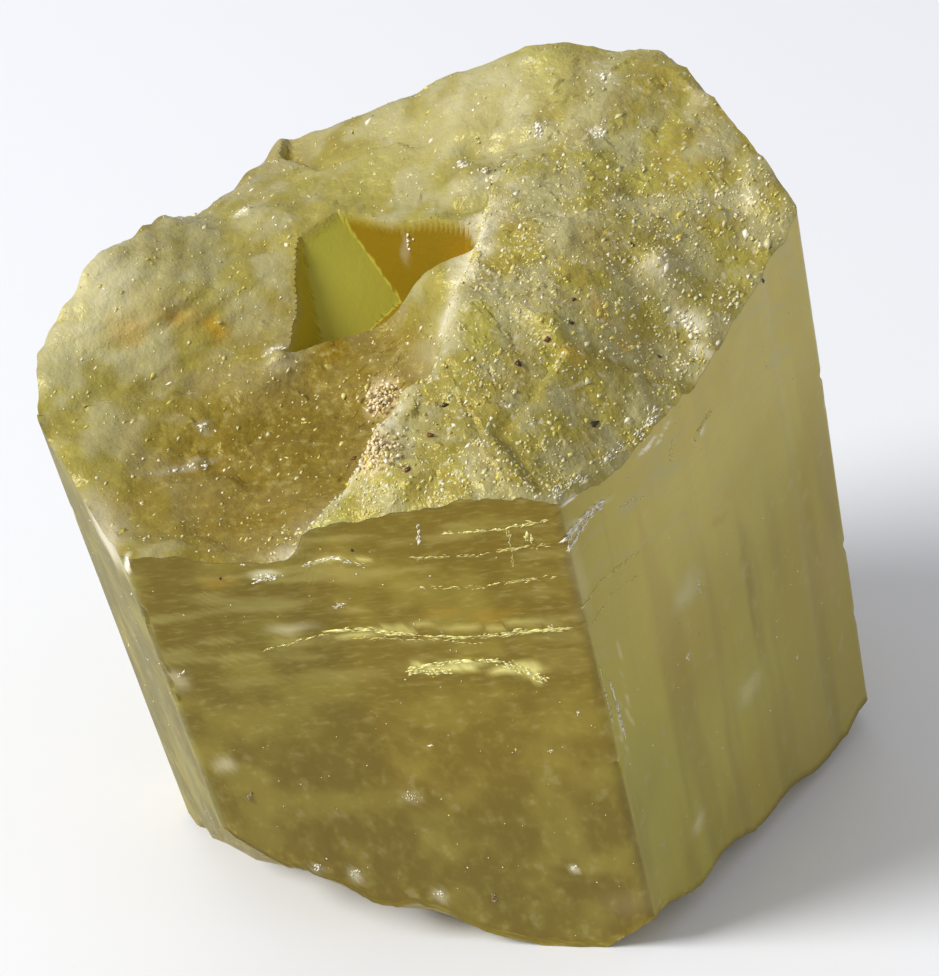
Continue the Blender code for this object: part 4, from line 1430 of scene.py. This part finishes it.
class CrystalColours(bpy.types.PropertyGroup):
    """Colours and finishes of the stone."""

    olive: tint("Olive", "Darker body colour", (0.52, 0.42, 0.030))
    green: tint("Green", "Lighter body colour", (0.60, 0.54, 0.060))
    # Deep olive is the dark columns' own tone, and also painted shade over the front face
    deep_olive_and_shade: tint("Deep olive", "Dark columns and front", (0.25, 0.158, 0.006))
    milky: tint("Milky", "Veils in the stone", (0.60, 0.50, 0.08))
    milky_white: tint("Milky white", "Small pale clouds", (0.72, 0.67, 0.45))
    # Beige is the right face's pale veil and painted sheen over it
    beige_and_sheen: tint("Beige", "Paler faces", (0.78, 0.64, 0.17))
    # Painted shade laid over the whole narrow left face
    strip_shade: tint("Strip beige", "Narrow left face", (0.21, 0.17, 0.032))
    layer_yellow: tint("Layer yellow", "Flat layers in the front", (0.68, 0.58, 0.16))
    frost: tint("Frost", "Frosted break", (0.60, 0.545, 0.27))
    bowl_brown: tint("Bowl brown", "Browner ground of the bowl", (0.27, 0.17, 0.012))
    warm_grit: tint("Warm grit", "Warm patches between crumbs", (0.46, 0.33, 0.06))
    # Painted shade laid over the break, less on the crumbly slope
    top_shade_olive: tint("Top olive", "Darker stone of the break", (0.31, 0.245, 0.035))
    crust_white: tint("Crust white", "Bruised crust and chips", (0.86, 0.80, 0.64))
    cream: tint("Cream", "Cream lumps", (0.84, 0.66, 0.38))
    pit_green: tint("Pit green", "Walls of the pit", (0.46, 0.39, 0.03))
    facet_green: tint("Facet green", "Clean wall of the pit", (0.60, 0.56, 0.07))
    # Pocket brown is painted shade in the pit's deep pocket and in a small hollow
    pocket_shade_brown: tint("Pocket brown", "Deep pocket of the pit", (0.24, 0.145, 0.004))
    pocket_orange: tint("Pocket orange", "Orange side of the pocket", (0.40, 0.20, 0.006))
    crack_yellow: tint("Crack yellow", "Bright cracks", (0.86, 0.78, 0.26))
    stain_orange: tint("Stain orange", "Rusty stains", (0.52, 0.30, 0.025))
    pink_veil: tint("Pink veil", "Faint pink veils", (0.64, 0.46, 0.22))
    # The colour of dark veins and specks, and of the painted shade along and under the foot
    dark_vein: tint("Dark vein", "Dark veins and shaded hollows", (0.15, 0.095, 0.008))
    grain_dark: tint("Dark grain", "Black grains", (0.02, 0.014, 0.006))
    grain_brown: tint("Brown grain", "Red-brown grains", (0.13, 0.045, 0.008))
    absorbed: tint("Tint", "Colour that passes through the stone", (0.87, 0.79, 0.05))
    absorption: amount("Absorption", "How fast light is drunk per metre", 210.0, min=0.0)
    clear_faces: fraction("Clear faces", "Share seen through the faces", 0.52)
    clear_top: fraction("Clear top", "Share seen through the break", 0.42)
    rough_faces: fraction("Rough faces", "Roughness of the faces", 0.28)
    rough_top: fraction("Rough top", "Roughness of the break", 0.36)
    shine_tint: tint("Shine tint", "Colour of reflections", (1.0, 0.90, 0.36))
    shine: fraction("Shine", "Strength of reflections", 0.25)
    light_bend: amount("Light bend", "Index of refraction", 1.63)


class StageSettings(bpy.types.PropertyGroup):
    """Floor, light and camera."""

    floor_colour: tint("Floor", "Floor colour", (0.86, 0.865, 0.89))
    sky_colour: tint("Sky", "Colour of the soft light all round", (0.93, 0.94, 0.98))
    sky_strength: amount("Sky strength", "Strength of the soft light", 0.52)
    lamp_power: amount("Lamp power", "Power of the key light", 3.1, subtype="POWER")
    lamp_size: amount("Lamp size", "Width of the round key light", 0.20, unit="LENGTH")
    lamp_place: FloatVectorProperty(
        name="Lamp place",
        description="Place of the key light",
        subtype="TRANSLATION",
        default=(-0.40, -0.16, 0.33),
        unit="LENGTH",
    )
    camera_place: FloatVectorProperty(
        name="Camera place",
        description="Place of the camera",
        subtype="TRANSLATION",
        default=(-0.000375, -0.07659, 0.06134),
        precision=6,
    )
    camera_dip: amount("Camera dip", "How far the camera looks down", math.radians(33.0), subtype="ANGLE")
    camera_lens: amount("Camera lens", "Focal length in mm on a 36 mm sensor", 111.69, precision=3)


class CRYSTAL_OT_stone(bpy.types.Operator):
    """Make the stone's surface and hang its finish on it"""

    bl_idname = "crystal.stone"
    bl_label = "Stone"

    def execute(self, context):
        sizes = context.scene.crystal_sizes
        colours = context.scene.crystal_colours
        own, faces, foot_w = stone_rows(sizes)
        zones = stone_zones(own, faces, foot_w, sizes)
        breaks = np.maximum(zones["on_top"], zones["under"])
        quads, fans = closed_faces(*own.shape[:2])
        data = mesh_of("crystal_surface", standing_places(with_poles(own)), quads, fans)
        outside_pit = 1.0 - zones["pit"]
        values = {
            "own_colour": laid_colour(zones, colours),
            "grain_place": grain_places(own, breaks, faces) * outside_pit[..., None],
            "relief_place": relief_places(own, breaks),
            "finish": stone_finish(zones, colours),
            # Pale flecks, partly crust specks and partly painted sparkle, more on the crumbly slope
            "flecked": outside_pit * (LEAST_FLECKS + MORE_FLECKS * zones["crumbly"]),
        }
        for name, grid in values.items():
            give_values(data, name, with_poles(grid))
        data.shade_smooth()
        data.set_sharp_from_angle(angle=SHARP_ANGLE)
        stone = add_piece("crystal_surface", data, stone_material(colours))
        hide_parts("crystal")
        return {"FINISHED"}


class CRYSTAL_OT_crumbs(bpy.types.Operator):
    """Strew pale crumbs over the crusty ground and along the front rim"""

    bl_idname = "crystal.crumbs"
    bl_label = "Crumbs"

    def execute(self, context):
        middle = context.scene.crystal_sizes.crumb_size / MM
        colours = context.scene.crystal_colours
        chance = np.random.default_rng(CRUMB_SEED)
        plan = np.array(CORNERS)
        u, v = chance.uniform(plan.min(axis=0), plan.max(axis=0), (CRUMB_TRIES, 2)).T
        kept = (rim_distance(u, v) > CRUMB_RIM_GAP) & (pit_height(u, v) > ground_height(u, v))
        kept &= chance.uniform(0.0, 1.0, CRUMB_TRIES) < crumbs_wanted(u, v)
        sizes = middle * uneven(chance, CRUMB_SPREAD, kept.sum())
        bits = [bits_on_top(chance, u[kept], v[kept], sizes, GRIT_TONES, colours)]
        # White bits on the chips and on the painted glints
        for centre, reach, heading, _, strength, _ in CHIPS_AND_GLINTS:
            if rim_distance(*centre[:2]) > CHIP_RIM_GAP:
                count = round(CHIP_BITS * strength)
                turn = np.array(Matrix.Rotation(heading, 2))
                away = CHIP_CORE * np.array(reach[:2]) * chance.normal(size=(count, 2))
                places = np.array(centre[:2]) + away @ turn.T
                sizes = CHIP_BIT_SCALE * middle * uneven(chance, CHIP_SPREAD, count)
                bits.append(bits_on_top(chance, *places.T, sizes, CHIP_TONES, colours))
        for heap_u, heap_v, spread, height, count in CREAM_HEAPS:
            places = np.array([heap_u, heap_v]) + spread * chance.normal(size=(count, 2))
            sizes = CREAM_BIT_SCALE * middle * uneven(chance, CHIP_SPREAD, count)
            bits.append(bits_on_top(chance, *places.T, sizes, CREAM_TONES, colours, CREAM_LEANING, height))
        finish = {"Roughness": CRUMB_ROUGHNESS, "IOR": colours.light_bend}
        material = strewn_material("pale_crumb", BIT_CAST, colours.frost, finish)
        bits_piece("pale_crumbs", bits, CRUMB_SEED + 1, material)
        return {"FINISHED"}


class CRYSTAL_OT_fractures(bpy.types.Operator):
    """Strew bright flakes along the fine breaks of the faces, and specks between them"""

    bl_idname = "crystal.fractures"
    bl_label = "Fractures"

    def execute(self, context):
        colours = context.scene.crystal_colours
        parts = outline_parts(context.scene.crystal_sizes)
        chance = np.random.default_rng(FRACTURE_SEED)
        bits = [bits_along(chance, *fracture, parts, colours) for fracture in FRACTURES]
        for start, end, count, length, width in RIM_NEEDLES:
            share = chance.uniform(0.0, 1.0, (count, 1))
            places = np.array(start) + share * (np.array(end) - start)
            places = places + NEEDLE_SPREAD * chance.normal(size=(count, 2))
            widths = np.full(count, width)
            centres, _, _, ways, tones = bits_on_top(chance, *places.T, widths, CHIP_TONES, colours, 1.0)
            bits.append((centres, np.full(count, length), widths, ways, tones))
        for face in SEEN_FACES:
            length = face_ends(face)[2]
            count = round(SPECKS_PER_MM * length)
            along = chance.uniform(EDGE_WEAR, length - EDGE_WEAR, count)
            centres, _ = face_places(face, along, chance.uniform(0.0, HIGHEST_SPECK, count), parts)
            centres = centres[on_the_face(centres, 2.0 * SPECK_SIZE)]
            sizes = SPECK_SIZE * uneven(chance, FLAKE_SPREAD, len(centres))
            ways = chance.normal(size=centres.shape)
            tones = chosen_tones(chance, len(centres), SPECK_TONES, colours)
            bits.append((centres, SPECK_STRETCH * sizes, sizes, ways, tones))
        finish = {"Roughness": FLAKE_ROUGHNESS, "IOR": colours.light_bend}
        material = strewn_material("flake", BIT_CAST, colours.frost, finish)
        bits_piece("fracture_flakes", bits, FRACTURE_SEED + 1, material)
        return {"FINISHED"}


class CRYSTAL_OT_grains(bpy.types.Operator):
    """Set dark grains on the top and in the front face"""

    bl_idname = "crystal.grains"
    bl_label = "Grains"

    def execute(self, context):
        top = np.array(TOP_GRAINS)
        w = top_height(top[:, 0], top[:, 1])
        on_top = np.stack([top[:, 0], top[:, 1], w - GRAIN_SINK * top[:, 2]], axis=-1)
        front = np.array(FRONT_GRAINS)
        centres = np.concatenate([on_top, front[:, :3]])
        sizes = np.concatenate([top[:, 2], front[:, 3]])
        chance = np.random.default_rng(GRAIN_SEED)
        colours = context.scene.crystal_colours
        tones = chosen_tones(chance, len(sizes), GRAIN_TONES, colours)
        ways = chance.normal(size=centres.shape)
        bits = [(centres, GRAIN_STRETCH * sizes, sizes, ways, tones)]
        finish = {"Roughness": GRAIN_ROUGHNESS}
        material = strewn_material("dark_grain", GRAIN_CAST, colours.grain_brown, finish)
        bits_piece("dark_grains", bits, GRAIN_SEED + 1, material)
        return {"FINISHED"}


class CRYSTAL_OT_stage(bpy.types.Operator):
    """Lay the floor and set the light and the camera"""

    bl_idname = "crystal.stage"
    bl_label = "Stage"

    def execute(self, context):
        scene = context.scene
        stage = scene.crystal_stage
        square = FLOOR_HALF * np.array([(-1.0, -1.0), (1.0, -1.0), (1.0, 1.0), (-1.0, 1.0)])
        corners = np.concatenate([square, np.full((4, 1), -FLOOR_SINK)], axis=1)
        data = mesh_of("floor", corners, np.array([[0, 1, 2, 3]]), np.zeros((0, 3), int))
        floor = put_in_scene("floor", data)
        recipe = Recipe("pale_floor")
        recipe.shade({"Base Color": colour(stage.floor_colour), "Roughness": FLOOR_ROUGHNESS})
        data.materials.append(recipe.material)

        world = bpy.data.worlds.new("soft_room")
        world.use_nodes = True
        sky = world.node_tree.nodes["Background"]
        sky.inputs["Color"].default_value = colour(stage.sky_colour)
        sky.inputs["Strength"].default_value = stage.sky_strength
        scene.world = world

        lamp = bpy.data.lights.new("key_light", "AREA")
        lamp.shape = "DISK"
        lamp.size = stage.lamp_size
        lamp.energy = stage.lamp_power
        holder = put_in_scene("key_light", lamp)
        holder.location = stage.lamp_place
        aim = Vector((0.0, 0.0, LIT_HEIGHT)) - holder.location
        holder.rotation_euler = aim.to_track_quat("-Z", "Y").to_euler()

        eye = bpy.data.cameras.new("camera")
        eye.lens = stage.camera_lens
        eye.sensor_width = SENSOR_WIDTH
        eye.clip_start = MM
        camera = put_in_scene("camera", eye)
        camera.location = stage.camera_place
        camera.rotation_euler = (math.pi / 2.0 - stage.camera_dip, 0.0, 0.0)
        scene.camera = camera
        scene.view_settings.view_transform = "Standard"
        return {"FINISHED"}


class CRYSTAL_PT_make(bpy.types.Panel):
    """Everything that makes the crystal, in order"""

    bl_idname = "CRYSTAL_PT_make"
    bl_label = "Apatite crystal"
    bl_space_type = "VIEW_3D"
    bl_region_type = "UI"
    bl_category = "Crystal"

    def draw(self, context):
        layout = self.layout
        for operator in OPERATORS:
            layout.operator(operator.bl_idname)
        for setting in SETTINGS:
            group = getattr(context.scene, setting)
            box = layout.box()
            for name in group.bl_rna.properties.keys():
                if name not in ("rna_type", "name"):
                    box.prop(group, name)


OPERATORS = (CRYSTAL_OT_stone, CRYSTAL_OT_crumbs, CRYSTAL_OT_fractures, CRYSTAL_OT_grains, CRYSTAL_OT_stage)
SETTINGS = {"crystal_sizes": CrystalSizes, "crystal_colours": CrystalColours, "crystal_stage": StageSettings}
CLASSES = (*SETTINGS.values(), *OPERATORS, CRYSTAL_PT_make)


def register():
    for item in CLASSES:
        bpy.utils.register_class(item)
    for name, group in SETTINGS.items():
        setattr(bpy.types.Scene, name, PointerProperty(type=group))


def unregister():
    for name in SETTINGS:
        delattr(bpy.types.Scene, name)
    for item in reversed(CLASSES):
        bpy.utils.unregister_class(item)


def main():
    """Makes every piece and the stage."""
    register()
    bpy.ops.crystal.stone()
    bpy.ops.crystal.crumbs()
    bpy.ops.crystal.fractures()
    bpy.ops.crystal.grains()
    bpy.ops.crystal.stage()


if __name__ == "__main__":
    main()
